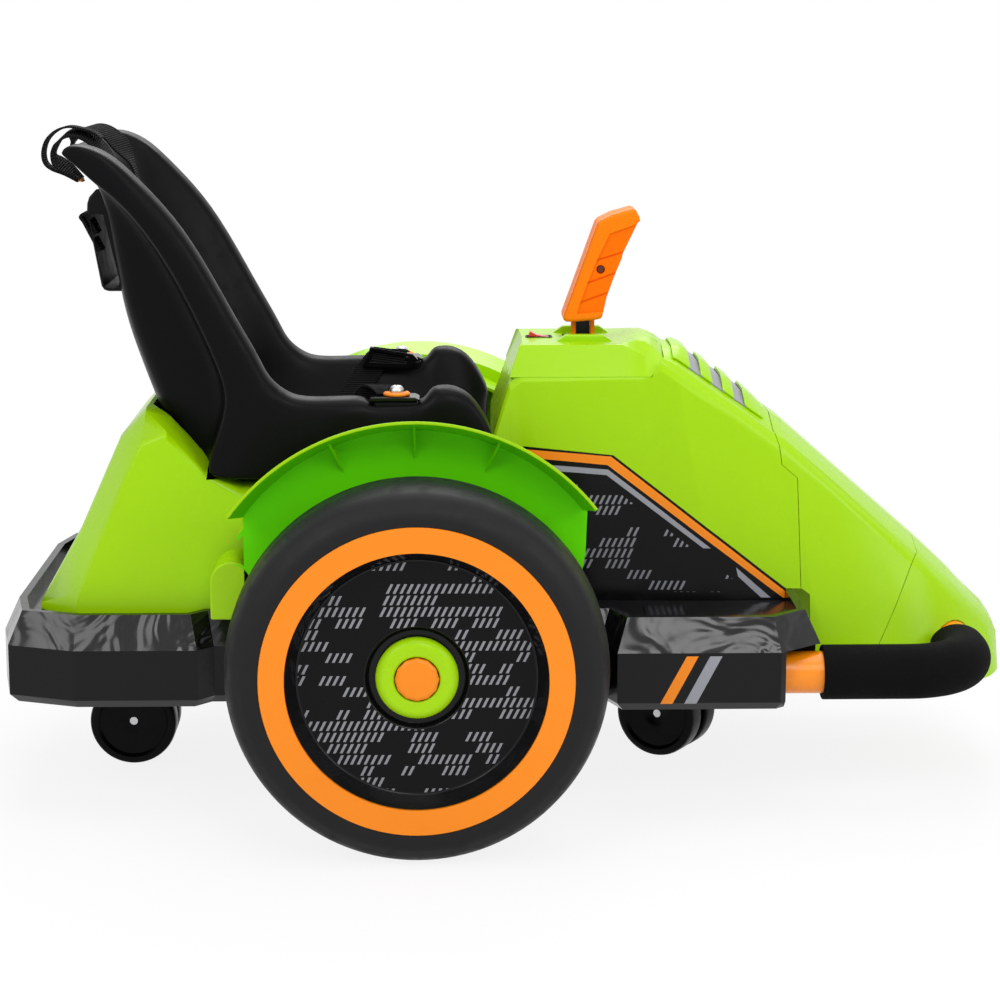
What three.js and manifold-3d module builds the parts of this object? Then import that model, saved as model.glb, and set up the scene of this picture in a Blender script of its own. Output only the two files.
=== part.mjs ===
// A battery-driven spin kart for one child: two large drive wheels amidships, a swivelling
// twin-wheel caster at the nose and another at the tail, a bucket seat and one joystick.
// Millimetres, +X forward, +Y to the rider's left, z = 0 is the ground.

import * as THREE from 'three';
import { mergeVertices } from 'three/addons/utils/BufferGeometryUtils.js';
import Module from 'manifold-3d';

const wasm = await Module();
wasm.setup();

// Driving dimensions
const gap = 0.3;              // left between pieces that touch
const overrun = 5;            // how far a cutting tool passes the face that it cuts
const skin = 3;               // wall of the moulded covers

const rearReach = 475;        // tail behind the origin
const frontReach = 475;       // nose tip ahead of the origin
const wheelRadius = 166;
const wheelWidth = 100;
const axleX = -90;
const axleRadius = 7;
const axleOverBottom = 60;    // drive axle above the chassis underside

const chassisHalf = 225;      // half width over the foot boards
const chassisRearHalf = 206;
const chassisWaistHalf = 190; // half width between the wheels
const chassisDepth = 84;
const bevelHeight = 30;       // sloped band above the crease
const bevelInset = 14;
const rimWidth = 7;
const chassisFront = 275;
const floorDrop = 10;         // tray floor below the rim
const chassisWall = 5;

const fenderSkin = 3;
const tyreClearance = 17;     // from the fender wall to the tyre
const fenderRise = 36;        // fender lip outside the tyre radius
const fenderLip = 40;         // how far the lip stands out over the tyre

const rearBodyHeight = 188;   // top of the tail cover above the tray floor
const seatDeckHeight = 120;   // deck under the seat above the tray floor
const seatHalf = 156;
const seatHeight = 312;
const seatLength = 386;
const seatFront = -22;
const cowlHeight = 236;       // console top above the tray floor

const casterRadius = 42;
const casterHalf = 27;        // half width over the two caster wheels
const casterTrail = 25;
const rearCasterInset = 129;
const rearCasterX = rearCasterInset - rearReach;
const frontCasterX = 175;
const frontCasterTurn = -31;  // degrees, as it happens to stand

const tubeRadius = 19.5;
const foamRadius = 25.5;
const bumperHalf = 190;       // half width between the bumper's straight legs

// Levels and planes that follow from them
const chassisBottom = wheelRadius - axleOverBottom;
const rimZ = chassisBottom + chassisDepth;
const creaseZ = rimZ - bevelHeight;
const floorZ = rimZ - floorDrop;
const fenderPlane = chassisHalf + fenderSkin;
const wheelInner = fenderPlane + tyreClearance;
const wheelOuter = wheelInner + wheelWidth;
const deckZ = floorZ + seatDeckHeight;
const consoleZ = floorZ + cowlHeight;
const bumperZ = chassisBottom + 0.32 * chassisDepth;

// Materials
function finish(color, roughness, metalness = 0) {
  return new THREE.MeshStandardMaterial({ color, roughness, metalness });
}
const limePlastic = finish(0x8fd400, 0.35);
const blackGloss = finish(0x101114, 0.2);
const blackPlastic = finish(0x17181a, 0.5);
const orangePlastic = finish(0xff7a12, 0.4);
const redPlastic = finish(0xd11f1f, 0.3);
const greyPlastic = finish(0x777b80, 0.5);
const rubber = finish(0x1b1b1c, 0.75);
const steel = finish(0xb9bcc0, 0.3, 1);
const webbing = finish(0x141414, 0.9);
const foam = finish(0x151617, 0.9);

// Solids
function solid(geometry) {
  const bare = new THREE.BufferGeometry();
  bare.setAttribute('position', geometry.getAttribute('position'));
  bare.setIndex(geometry.index);
  const welded = mergeVertices(bare, 1e-4);
  const corners = [];
  const index = welded.index.array;
  for (let i = 0; i < index.length; i += 3) {
    const [a, b, c] = [index[i], index[i + 1], index[i + 2]];
    if (a !== b && b !== c && c !== a) corners.push(a, b, c);
  }
  return new wasm.Manifold(new wasm.Mesh({
    numProp: 3,
    vertProperties: new Float32Array(welded.getAttribute('position').array),
    triVerts: new Uint32Array(corners),
  }));
}

function geometryOf(body) {
  const mesh = body.getMesh();
  const geometry = new THREE.BufferGeometry();
  geometry.setAttribute('position', new THREE.BufferAttribute(new Float32Array(mesh.vertProperties), 3));
  geometry.setIndex(new THREE.BufferAttribute(new Uint32Array(mesh.triVerts), 1));
  return geometry;
}

function join(first, ...others) {
  return others.reduce((sum, other) => sum.add(other), first);
}

function cut(first, ...others) {
  return others.reduce((rest, other) => rest.subtract(other), first);
}

function mirrored(body) {
  const geometry = geometryOf(body);
  const position = geometry.getAttribute('position');
  for (let i = 0; i < position.count; i += 1) position.setY(i, -position.getY(i));
  const index = geometry.index.array;
  for (let i = 0; i < index.length; i += 3) [index[i], index[i + 1]] = [index[i + 1], index[i]];
  return solid(geometry);
}

// A box between two opposite corners
function block(low, high) {
  const size = high.map((value, axis) => value - low[axis]);
  const box = new THREE.BoxGeometry(...size);
  box.translate(...high.map((value, axis) => (value + low[axis]) / 2));
  return solid(box);
}

// A round bar along X, Y or Z between two places on that axis
function bar(axis, radius, from, to, [a, b], sides = 20) {
  const cylinder = new THREE.CylinderGeometry(radius, radius, to - from, sides);
  cylinder.translate(0, (from + to) / 2, 0);
  if (axis === 'x') cylinder.rotateZ(-Math.PI / 2);
  if (axis === 'z') cylinder.rotateX(Math.PI / 2);
  const place = { x: [0, a, b], y: [a, 0, b], z: [a, b, 0] }[axis];
  cylinder.translate(...place);
  return solid(cylinder);
}

// A body turned about Y from radius and y pairs, set on an axle
function turned(profile, x, z, sides = 40) {
  const points = profile.map(([radius, y]) => new THREE.Vector2(radius, y));
  const lathe = new THREE.LatheGeometry(points, sides);
  lathe.translate(x, 0, z);
  return facingOut(lathe);
}

function facingOut(geometry) {
  const body = solid(geometry);
  if (body.volume() > 0) return body;
  const index = geometry.index.array;
  for (let i = 0; i < index.length; i += 3) [index[i], index[i + 1]] = [index[i + 1], index[i]];
  return solid(geometry);
}

function shapeOf(points) {
  return new THREE.Shape(points.map(([x, y]) => new THREE.Vector2(x, y)));
}

// A plan outline made thick between two levels
function prism(outline, low, high) {
  const geometry = new THREE.ExtrudeGeometry(shapeOf(outline), { depth: high - low, bevelEnabled: false });
  geometry.translate(0, 0, low);
  return solid(geometry);
}

// A side outline of x and z made thick between two y planes
function slab(outline, low, high) {
  const geometry = new THREE.ExtrudeGeometry(shapeOf(outline), { depth: high - low, bevelEnabled: false });
  geometry.rotateX(Math.PI / 2);
  geometry.translate(0, high, 0);
  return solid(geometry);
}

// A skin drawn over closed sections that all have the same number of points.
// Each section is an outline of 2D points and a function that places one in space.
function loft(sections) {
  const count = sections[0].outline.length;
  const position = [];
  for (const { outline, place } of sections) {
    for (const [u, v] of outline) position.push(...place(u, v));
  }
  const index = [];
  for (let s = 0; s + 1 < sections.length; s += 1) {
    for (let i = 0; i < count; i += 1) {
      const next = (i + 1) % count;
      const [a, b] = [s * count + i, s * count + next];
      const [c, d] = [a + count, b + count];
      index.push(a, b, d, a, d, c);
    }
  }
  const last = (sections.length - 1) * count;
  const capOf = (outline) => {
    const contour = outline.map(([u, v]) => new THREE.Vector2(u, v));
    const faces = THREE.ShapeUtils.triangulateShape(contour, []);
    return THREE.ShapeUtils.isClockWise(contour) ? faces.map(([a, b, c]) => [a, c, b]) : faces;
  };
  for (const [a, b, c] of capOf(sections[0].outline)) index.push(a, c, b);
  for (const [a, b, c] of capOf(sections.at(-1).outline)) index.push(last + a, last + b, last + c);
  const geometry = new THREE.BufferGeometry();
  geometry.setAttribute('position', new THREE.Float32BufferAttribute(position, 3));
  geometry.setIndex(index);
  return facingOut(geometry);
}

// An outline that runs anticlockwise, drawn in by a distance
function inset(outline, distance) {
  const count = outline.length;
  const lines = outline.map(([x, y], i) => {
    const [nx, ny] = outline[(i + 1) % count];
    const length = Math.hypot(nx - x, ny - y);
    const [dx, dy] = [(nx - x) / length, (ny - y) / length];
    return { x: x - dy * distance, y: y + dx * distance, dx, dy };
  });
  return lines.map((line, i) => {
    const before = lines[(i + count - 1) % count];
    const cross = before.dx * line.dy - before.dy * line.dx;
    if (Math.abs(cross) < 1e-9) return [line.x, line.y];
    const along = ((line.x - before.x) * line.dy - (line.y - before.y) * line.dx) / cross;
    return [before.x + before.dx * along, before.y + before.dy * along];
  });
}

// The right half of a plan outline, from tail to nose, closed by its mirror image
function bothSides(half) {
  const right = half.map(([x, y]) => [x, -y]);
  const left = half.map(([x, y]) => [x, y]).reverse();
  return [...right, ...left];
}

const model = new THREE.Group();
function add(name, body, material, parent = model) {
  const mesh = new THREE.Mesh(geometryOf(body), material);
  mesh.name = name;
  parent.add(mesh);
}
function addPair(name, right, material) {
  add(`${name}_right`, right, material);
  add(`${name}_left`, mirrored(right), material);
}

// Chassis: a deep moulded tray, open below, with ribs, bumper sockets and caster bosses
const cornerCut = 40;
const boardFront = chassisFront - cornerCut;
function chassisOutline() {
  const tailFlat = 120;
  const cornerX = 13;
  const cornerHalf = 182;
  const cornerEnd = 75;
  const waistRear = axleX - wheelRadius - 33;
  const waistFront = axleX + wheelRadius + 12;
  const ramp = 14;
  return bothSides([
    [-rearReach, tailFlat], [-rearReach + cornerX, cornerHalf], [-rearReach + cornerEnd, chassisRearHalf],
    [waistRear, chassisRearHalf], [waistRear + ramp, chassisWaistHalf],
    [waistFront - ramp, chassisWaistHalf], [waistFront, chassisHalf],
    [boardFront, chassisHalf], [chassisFront, bumperHalf],
  ]);
}

function chassisRibs() {
  const ribHalf = 2;
  const spacing = 115;
  const ribs = [];
  for (let x = -rearReach + spacing; x < chassisFront; x += spacing) {
    ribs.push(block([x - ribHalf, -chassisHalf, chassisBottom + 2 * ribHalf],
      [x + ribHalf, chassisHalf, floorZ]));
  }
  for (const share of [-0.55, 0.55]) {
    const y = share * chassisWaistHalf;
    ribs.push(block([-rearReach, y - ribHalf, chassisBottom + 2 * ribHalf],
      [chassisFront, y + ribHalf, floorZ]));
  }
  return join(...ribs);
}

// The skirt stops at a pocket in each front corner, where a bumper leg enters its socket
const pocketRear = boardFront + chassisWall;
const socketLength = 50;
const legRoom = 5;
const pocketInner = bumperHalf - tubeRadius - 2 * legRoom;
function bumperSockets() {
  const [rear, front] = [pocketRear - socketLength, chassisFront + overrun];
  const [inner, outer] = [bumperHalf - tubeRadius - legRoom, bumperHalf + tubeRadius + legRoom];
  return [-1, 1].flatMap((side) => [
    sideBlock(side, [rear, inner, chassisBottom - overrun], [front, outer, floorZ]),
    sideBlock(side, [boardFront, pocketInner - chassisWall, chassisBottom - overrun],
      [front, chassisHalf, floorZ]),
  ]);
}
function bumperPockets() {
  const low = chassisBottom - overrun;
  return [-1, 1].map((side) => sideBlock(side, [pocketRear, pocketInner, low],
    [chassisFront + overrun, chassisHalf + overrun, creaseZ - gap]));
}

// A block on the right, side -1, or the left, side 1, given by its inner and outer y
function sideBlock(side, [x0, inner, z0], [x1, outer, z1]) {
  return block([x0, Math.min(side * inner, side * outer), z0],
    [x1, Math.max(side * inner, side * outer), z1]);
}

const stemRadius = 6;
function chassis() {
  const outline = chassisOutline();
  const level = (z, distance) => ({ outline: inset(outline, distance), place: (x, y) => [x, y, z] });
  const footInset = 8;
  const outer = loft([
    level(chassisBottom, footInset), level(chassisBottom + footInset, 0),
    level(creaseZ, 0), level(rimZ, bevelInset),
  ]);
  const recess = prism(inset(outline, bevelInset + rimWidth), floorZ, rimZ + overrun);
  const hollow = prism(inset(outline, footInset + chassisWall), chassisBottom - overrun,
    floorZ - chassisWall);
  const bossRadius = 34;
  const bosses = [rearCasterX, frontCasterX].map(
    (x) => bar('z', bossRadius, chassisBottom - overrun, floorZ, [x, 0], 12));
  const body = cut(outer, recess, cut(hollow, chassisRibs(), ...bosses, ...bumperSockets()),
    ...bumperPockets());
  const boreFit = tubeRadius + gap;
  const bores = [-bumperHalf, bumperHalf].map(
    (y) => bar('x', boreFit, pocketRear - socketLength + chassisWall, chassisFront + overrun,
      [y, bumperZ]));
  const stems = [rearCasterX, frontCasterX].map(
    (x) => bar('z', stemRadius + gap, chassisBottom - overrun, floorZ - 2 * chassisWall, [x, 0], 12));
  const axleBore = bar('y', axleRadius + gap, -chassisHalf, chassisHalf, [axleX, wheelRadius]);
  return join(cut(body, ...bores, ...stems, axleBore), ...footPads());
}

// Raised foot boards on the tray floor, one on each side of the cowl
function footPads() {
  const [padRear, padFront, padInner, padOuter] = [118, 226, 126, 200];
  const padRise = 1.5;
  return [-1, 1].map((side) => sideBlock(side, [padRear, padInner, floorZ - padRise],
    [padFront, padOuter, floorZ + padRise]));
}
add('chassis', chassis(), blackGloss);

// Covers are drawn over cross sections of y and z: base, side crease and top, the last two eased
function coverOutline(base, crease, top, rounding) {
  const eased = (before, corner, after, reach) => {
    const towards = (end) => {
      const length = Math.hypot(end[0] - corner[0], end[1] - corner[1]);
      const share = Math.min(reach / length, 0.45);
      return [corner[0] + (end[0] - corner[0]) * share, corner[1] + (end[1] - corner[1]) * share];
    };
    return [towards(before), towards(after)];
  };
  const half = rounding > 0
    ? [base, ...eased(base, crease, top, rounding), ...eased(crease, top, [0, top[1]], rounding)]
    : [base, crease, top];
  return [...half, ...half.map(([y, z]) => [-y, z]).reverse()];
}

// More rows between the given ones, so that a twisted side stays smooth
function finerRows(rows, step) {
  return rows.flatMap((row, i) => {
    if (i === 0) return [row];
    const before = rows[i - 1];
    const count = Math.max(1, Math.round(Math.abs(row[0] - before[0]) / step));
    return Array.from({ length: count }, (_, k) =>
      before.map((value, n) => value + ((row[n] - value) * (k + 1)) / count));
  });
}

// Tail cover: a faceted hood that steps down to a deck under the seat. Its x runs from the seat's
// front, 0, to the top of the hump, 1, and on to the tail end, 2.
const tailHalf = 168;
const tailInset = 35;
const humpShare = 0.824;
const humpX = seatFront - seatLength * humpShare;
const tailShares = [
  // x, base half, crease half, crease height, top half, top height
  [2.00, 0.744, 0.744, 0.02, 0.702, 0.045],
  [1.62, 0.982, 0.970, 0.096, 0.702, 0.40],
  [1.24, 1.000, 0.940, 0.585, 0.667, 0.85],
  [1.00, 1.000, 0.905, 0.85, 0.643, 0.99],
  [0.93, 1.000, 0.893, 0.895, 0.625, 0.945],
  [0.824, 1.000, 0.893, 0.70, 0.702, 0.75],
  [0.72, 1.000, 0.893, 0.60, 0.774, 0.638],
  [0.03, 1.000, 0.893, 0.60, 0.774, 0.638],
];
const coverRounding = 5;
function rearBodySections(wall) {
  const lowZ = wall > 0 ? floorZ - overrun : floorZ + gap;
  const tailX = (share) => (share > 1
    ? humpX + (share - 1) * (tailInset - rearReach - humpX)
    : seatFront + share * (humpX - seatFront));
  return tailShares.map(([along, base, crease, creaseShare, top, topShare], i) => {
    const inward = i < 4 ? 2 * wall : 0;
    const x = tailX(along) + (i === tailShares.length - 1 ? -wall : inward);
    const creaseAt = Math.max(floorZ + rearBodyHeight * creaseShare - wall, lowZ + gap);
    const topZ = Math.max(floorZ + rearBodyHeight * topShare - wall, creaseAt + gap);
    return {
      outline: coverOutline([tailHalf * base - wall, lowZ], [tailHalf * crease - wall, creaseAt],
        [tailHalf * top - wall, topZ], wall > 0 ? 0 : coverRounding),
      place: (y, z) => [x, y, z],
    };
  });
}

function rearBody() {
  const shell = cut(loft(rearBodySections(0)), loft(rearBodySections(skin)));
  const [windowHalf, windowTop] = [62, 105];
  const windows = block([axleX - windowHalf, -chassisHalf, floorZ - overrun],
    [axleX + windowHalf, chassisHalf, floorZ + windowTop]);
  return cut(shell, windows, seatEnvelope(gap));
}

// Front cowl, console, nose cowl and nose tip share one outer form, parted at the seams. Its x
// runs from the rear wall, 0, to the nose seam, 1, and on to the nose tip, 2.
const cowlRear = -20;
const cowlHalf = 119;
const seamLead = 2;
const noseSeamX = chassisFront + seamLead;
const cowlShares = [
  // x, base half, crease half, crease height, top half, top height
  [0.000, 0.840, 0.773, 0.655, 0.555, 0.700],
  [0.051, 0.874, 0.660, 0.850, 0.521, 0.885],
  [0.091, 0.891, 0.643, 0.885, 0.420, 1.000],
  [0.471, 0.941, 0.643, 0.885, 0.420, 1.000],
  [0.529, 0.950, 0.630, 0.924, 0.487, 0.985],
  [0.583, 0.958, 0.646, 0.877, 0.504, 0.972],
  [0.929, 0.992, 0.655, 0.572, 0.521, 0.674],
  [1.116, 1.000, 0.647, 0.420, 0.513, 0.510],
  [1.535, 0.975, 0.622, 0.115, 0.487, 0.205],
  [1.631, 0.941, 0.605, 0.045, 0.462, 0.135],
  [1.732, 0.850, 0.545, -0.030, 0.410, 0.056],
  [1.823, 0.715, 0.470, -0.100, 0.345, -0.025],
  [1.924, 0.520, 0.340, -0.175, 0.240, -0.105],
  [1.965, 0.390, 0.255, -0.225, 0.180, -0.155],
  [1.990, 0.280, 0.185, -0.262, 0.130, -0.195],
  [2.000, 0.185, 0.125, -0.290, 0.085, -0.225],
];
const cowlHang = 12;           // how far the covers hang below the chassis underside
function cowlX(share) {
  if (share < 1) return cowlRear + share * (noseSeamX - cowlRear);
  return noseSeamX + (share - 1) * (frontReach - noseSeamX);
}

function cowlSections(wall) {
  const lowZ = chassisBottom - cowlHang - (wall > 0 ? overrun : 0);
  const rows = finerRows(cowlShares, 0.2);
  return rows.map(([along, base, crease, creaseShare, top, topShare], i) => ({
    outline: coverOutline([cowlHalf * base - wall, lowZ],
      [cowlHalf * crease - wall, floorZ + cowlHeight * creaseShare - wall],
      [cowlHalf * top - wall, floorZ + cowlHeight * topShare - wall], wall > 0 ? 0 : coverRounding),
    place: (y, z) => [cowlX(along) + (i === 0 ? wall : 0) - (along > 1.6 ? wall : 0), y, z],
  }));
}

const cowlLow = chassisBottom - overrun * 4;
const cowlTop = consoleZ + overrun * 8;
const lidFront = 143;
const lidDepth = 28;
const lidSeamZ = consoleZ - lidDepth;

// The nose seam runs from the top down to the chassis, as shares of its step and of the cowl's height
const seamStep = 34;
const noseSeamShares = [
  [-1, 0.737], [-0.82, 0.61], [-0.76, 0.53], [-0.32, 0.475], [-0.24, 0.045], [0, 0.02],
];
function noseSeam(shift) {
  const line = noseSeamShares.map(([along, up]) =>
    [noseSeamX + seamStep * along + shift, floorZ + cowlHeight * up]);
  return [[line[0][0], cowlTop], ...line, [noseSeamX + shift, cowlLow - overrun]];
}

const tipSeamShares = [[1.64, 0.35], [1.20, 0]];
function tipSeam(shift) {
  const [[topShare, upShare], [lowShare]] = tipSeamShares;
  return [[cowlX(topShare) + shift, floorZ + cowlHeight * upShare],
    [cowlX(lowShare) + shift, cowlLow - overrun]];
}

function lidRegion(grow) {
  const ramp = 15;
  return slab([
    [cowlRear - overrun, lidSeamZ - grow], [lidFront - ramp + grow, lidSeamZ - grow],
    [lidFront + grow, lidSeamZ + lidDepth], [lidFront + grow, cowlTop], [cowlRear - overrun, cowlTop],
  ], -chassisHalf, chassisHalf);
}

function behindNoseSeam() {
  return slab([...noseSeam(-gap).reverse(), [cowlRear - overrun, cowlTop],
    [cowlRear - overrun, cowlLow - overrun]]
    .reverse(), -chassisHalf, chassisHalf);
}

function betweenSeams() {
  return slab([...noseSeam(gap), ...tipSeam(-gap).reverse()].reverse(), -chassisHalf, chassisHalf);
}

function aheadOfTipSeam() {
  const ahead = frontReach + overrun;
  const outline = [...tipSeam(gap), [ahead, cowlLow - overrun], [ahead, cowlTop]].reverse();
  return slab(outline, -chassisHalf, chassisHalf);
}

const cowlOuter = loft(cowlSections(0));
const cowlShell = cut(cowlOuter, loft(cowlSections(skin)));

// Three vent slots across the cowl's sloping top, with one grey insert behind them
const ventHalf = 34;
const ventPitch = 21;
const ventLength = 11;
const firstVentX = 166;
function ventSlope(x) {
  const [rear, front] = [cowlShares[5], cowlShares[6]];
  const [rearX, frontX] = [cowlX(rear[0]), cowlX(front[0])];
  const topShare = rear[5] + ((front[5] - rear[5]) * (x - rearX)) / (frontX - rearX);
  return floorZ + cowlHeight * topShare;
}
function ventBar(index, grow, depth) {
  const rear = firstVentX + index * ventPitch - grow;
  const front = rear + ventLength + 2 * grow;
  return slab([
    [rear, ventSlope(rear) - depth], [front, ventSlope(front) - depth],
    [front, ventSlope(front) - gap + grow * 9], [rear, ventSlope(rear) - gap + grow * 9],
  ], -ventHalf - grow, ventHalf + grow);
}

function frontCowl() {
  const above = block([cowlRear - overrun, -chassisHalf, floorZ + gap], [frontReach, chassisHalf, cowlTop]);
  let body = cowlShell.intersect(behindNoseSeam()).intersect(above);
  const rimRelief = bevelInset + rimWidth + gap;
  const overRim = block([chassisFront - rimRelief, -chassisHalf, floorZ],
    [frontReach, chassisHalf, rimZ + gap]);
  body = cut(body, lidRegion(gap), overRim);
  for (const index of [0, 1, 2]) body = cut(body, ventBar(index, gap, 2 * skin));
  return body;
}
add('front_cowl', frontCowl(), limePlastic);

function ventInsert() {
  const plateRear = firstVentX - ventLength;
  const plateFront = firstVentX + 2 * ventPitch + 2 * ventLength;
  const under = skin + gap;
  const plate = slab([
    [plateRear, ventSlope(plateRear) - under - skin], [plateFront, ventSlope(plateFront) - under - skin],
    [plateFront, ventSlope(plateFront) - under - gap], [plateRear, ventSlope(plateRear) - under - gap],
  ], -ventHalf, ventHalf);
  return join(plate, ...[0, 1, 2].map((index) => ventBar(index, 0, 2 * skin)));
}
add('vent_insert', ventInsert(), greyPlastic);

// Console lid with its joystick well, collar and front hump
const stickX = 67;
const wellHalfX = 19;
const wellHalfY = 24;
const rockerX = 25;
const rockerLength = 29;
const rockerHalf = 12;
const bezelWall = 3;
function consoleLid() {
  const collarHalf = 35;
  const collarWidth = 5;
  const collarRise = 6;
  const humpRear = 102;
  const humpHalf = 40;
  let body = cowlShell.intersect(lidRegion(0));
  for (const side of [-1, 1]) {
    const y = side * collarHalf;
    body = body.add(slab([
      [stickX - 27, consoleZ - gap], [stickX + 27, consoleZ - gap],
      [stickX + 16, consoleZ + collarRise], [stickX - 16, consoleZ + collarRise],
    ], y - collarWidth / 2, y + collarWidth / 2));
  }
  body = body.add(slab([
    [humpRear, consoleZ - gap], [lidFront, consoleZ - 2 * skin], [lidFront - 4, consoleZ + 3],
    [humpRear + 24, consoleZ + 7], [humpRear + 8, consoleZ + 5],
  ], -humpHalf, humpHalf).intersect(lidRegion(0)));
  const well = block([stickX - wellHalfX, -wellHalfY, lidSeamZ - overrun],
    [stickX + wellHalfX, wellHalfY, cowlTop]);
  const switchHole = block(
    [rockerX - rockerLength / 2 + bezelWall - gap, -rockerHalf + bezelWall - gap, lidSeamZ],
    [rockerX + rockerLength / 2 - bezelWall + gap, rockerHalf - bezelWall + gap, cowlTop]);
  return cut(body, well, switchHole);
}
add('console', consoleLid(), limePlastic);

// Rocker switch in its bezel
const rockerPivotZ = consoleZ - 1;
const rockerInset = 5;
const rockerPin = 1.5;
function rockerBezel() {
  const flange = 2.5;
  const deep = 12;
  const [halfX, halfY] = [rockerLength / 2, rockerHalf];
  const frame = join(
    block([rockerX - halfX, -halfY, consoleZ + gap], [rockerX + halfX, halfY, consoleZ + flange]),
    block([rockerX - halfX + bezelWall, -halfY + bezelWall, consoleZ - deep],
      [rockerX + halfX - bezelWall, halfY - bezelWall, consoleZ + flange]));
  const inner = rockerInset;
  return cut(frame, block([rockerX - halfX + inner, -halfY + inner, consoleZ - deep + 2],
    [rockerX + halfX - inner, halfY - inner, consoleZ + overrun]),
    bar('y', rockerPin + gap, -halfY, halfY, [rockerX, rockerPivotZ], 10));
}
add('rocker_bezel', rockerBezel(), blackPlastic);

// The rocker turns on two pins in the bezel; its rear end stands proud at rest
function rockerSwitch() {
  const reach = rockerLength / 2 - rockerInset - 1;
  const halfY = rockerHalf - rockerInset - 1;
  const rows = [[-0.96, -0.3], [0, -0.7], [0.96, -0.3], [0.97, 0.25], [0, 0.4], [-0.78, 0.62]];
  const body = slab(rows.map(([along, up]) => [rockerX + reach * along, rockerPivotZ + reach * up]),
    -halfY, halfY);
  const pinReach = rockerHalf - bezelWall - 0.5;
  return body.add(bar('y', rockerPin, -pinReach, pinReach, [rockerX, rockerPivotZ], 10));
}
add('rocker_switch', rockerSwitch(), redPlastic);

// Nose cowl and the nose tip that the bumper tube passes through
const bendRadius = 62;
const crossShare = 1.712;
const crossX = cowlX(crossShare);
const bendX = crossX - bendRadius;
const bendY = bumperHalf - bendRadius;

// Bumper centre line as x, y and heading in degrees, from the right socket round to the left one
const quarterTurn = 90;
function bumperLine(fromX, steps) {
  const line = [[fromX, -bumperHalf, 0]];
  for (let i = 0; i <= steps; i += 1) {
    const turn = (quarterTurn * i) / steps;
    const angle = THREE.MathUtils.degToRad(turn);
    line.push([bendX + bendRadius * Math.sin(angle), -bendY - bendRadius * Math.cos(angle), turn]);
  }
  return line;
}

function pipe(line, radius, sides = 12) {
  const circle = [];
  for (let i = 0; i < sides; i += 1) {
    const turn = (2 * Math.PI * (i + 0.5)) / sides;
    circle.push([radius * Math.cos(turn), radius * Math.sin(turn)]);
  }
  return loft(line.map(([x, y, heading]) => {
    const angle = THREE.MathUtils.degToRad(heading);
    return {
      outline: circle,
      place: (u, v) => [x - Math.sin(angle) * u, y + Math.cos(angle) * u, bumperZ + v],
    };
  }));
}

function noseCowl() {
  return cowlShell.intersect(betweenSeams());
}
add('nose_cowl', noseCowl(), limePlastic);

function noseTip() {
  const bore = bar('y', tubeRadius + 2 * gap, -chassisHalf, chassisHalf, [crossX, bumperZ], 20);
  return cut(cowlShell.intersect(aheadOfTipSeam()), bore);
}
add('nose_tip', noseTip(), limePlastic);

// Bumper: one bent tube with a foam sleeve over each bend
function bumperTube() {
  const steps = 4;
  const socketDepth = socketLength - 2 * chassisWall;
  const right = bumperLine(pocketRear - socketDepth, steps);
  const left = right.map(([x, y, heading]) => [x, -y, 180 - heading]).reverse();
  const outer = pipe([...right, ...left], tubeRadius);
  const bore = pipe([...right.map((p, i) => (i === 0 ? [p[0] - overrun, p[1], p[2]] : p)),
    ...left.map((p, i) => (i === left.length - 1 ? [p[0] - overrun, p[1], p[2]] : p))], tubeRadius - 2, 8);
  return cut(outer, bore);
}
add('bumper_tube', bumperTube(), orangePlastic);

const tubeShown = 36;          // how much of each bumper leg is bare, ahead of its pocket
const foamRear = pocketRear + tubeShown;
function foamSleeve() {
  const steps = 4;
  const line = [...bumperLine(foamRear, steps), [crossX, 0, quarterTurn]];
  const boreLine = [...bumperLine(foamRear - overrun, steps), [crossX, overrun, quarterTurn]];
  const bore = pipe(boreLine, tubeRadius + gap);
  return cut(pipe(line, foamRadius), bore, loft(cowlSections(-gap)));
}
addPair('bumper_foam', foamSleeve(), foam);

// Wheels: moulded tyre, rim, coloured ring, hub ring and hub cap
const ringOuter = 134.5;
const rimRadius = 112;
const discRecess = 18;
const hubRadius = 35.5;
const capRadius = 19;
const wheelSides = 24;
function wheelProfiles() {
  const [yi, yo] = [wheelInner, wheelOuter];
  const r = wheelRadius;
  const ringDepth = 5;
  const bore = rimRadius + gap;
  const rimInner = yi + 14;
  const rimWall = 4;
  const disc = yo - discRecess;
  const hubFloor = disc - 6;
  const hubBore = axleRadius + gap;
  const barrelR = rimRadius - rimWall;
  return {
    tyre: [
      [bore, yi + 8], [bore + 14, yi], [r - 20, yi], [r - 5, yi + 12], [r, yi + 32],
      [r, yo - 32], [r - 5, yo - 12], [r - 20, yo - 1], [ringOuter + gap, yo - 1],
      [ringOuter + gap, yo - ringDepth], [bore, yo - ringDepth],
    ],
    rim: [
      [hubBore, yi + 10], [24, yi + 10], [26, hubFloor - rimWall], [barrelR - 6, disc - rimWall],
      [barrelR - 2, rimInner], [rimRadius, rimInner], [rimRadius, yo - 2],
      [rimRadius - 9, disc], [hubRadius + 9, disc], [hubRadius + 6, hubFloor], [hubBore, hubFloor],
    ],
    ring: [
      [bore, yo - ringDepth + gap], [ringOuter, yo - ringDepth + gap], [ringOuter, yo], [bore, yo],
    ],
    hubRing: [
      [capRadius + gap, hubFloor + gap], [hubRadius, hubFloor + gap], [hubRadius, yo - 16],
      [hubRadius - 5, yo - 11.5], [capRadius + gap, yo - 12],
    ],
    hubCap: [
      [0, hubFloor + 3], [axleRadius + 3, hubFloor + 3],
      [axleRadius + 3, hubFloor + gap], [capRadius, hubFloor + gap],
      [capRadius, yo - 12], [capRadius - 3, yo - 10], [0, yo - 9],
    ],
  };
}

function closedLoop(profile) {
  return [...profile, profile[0]];
}

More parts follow.
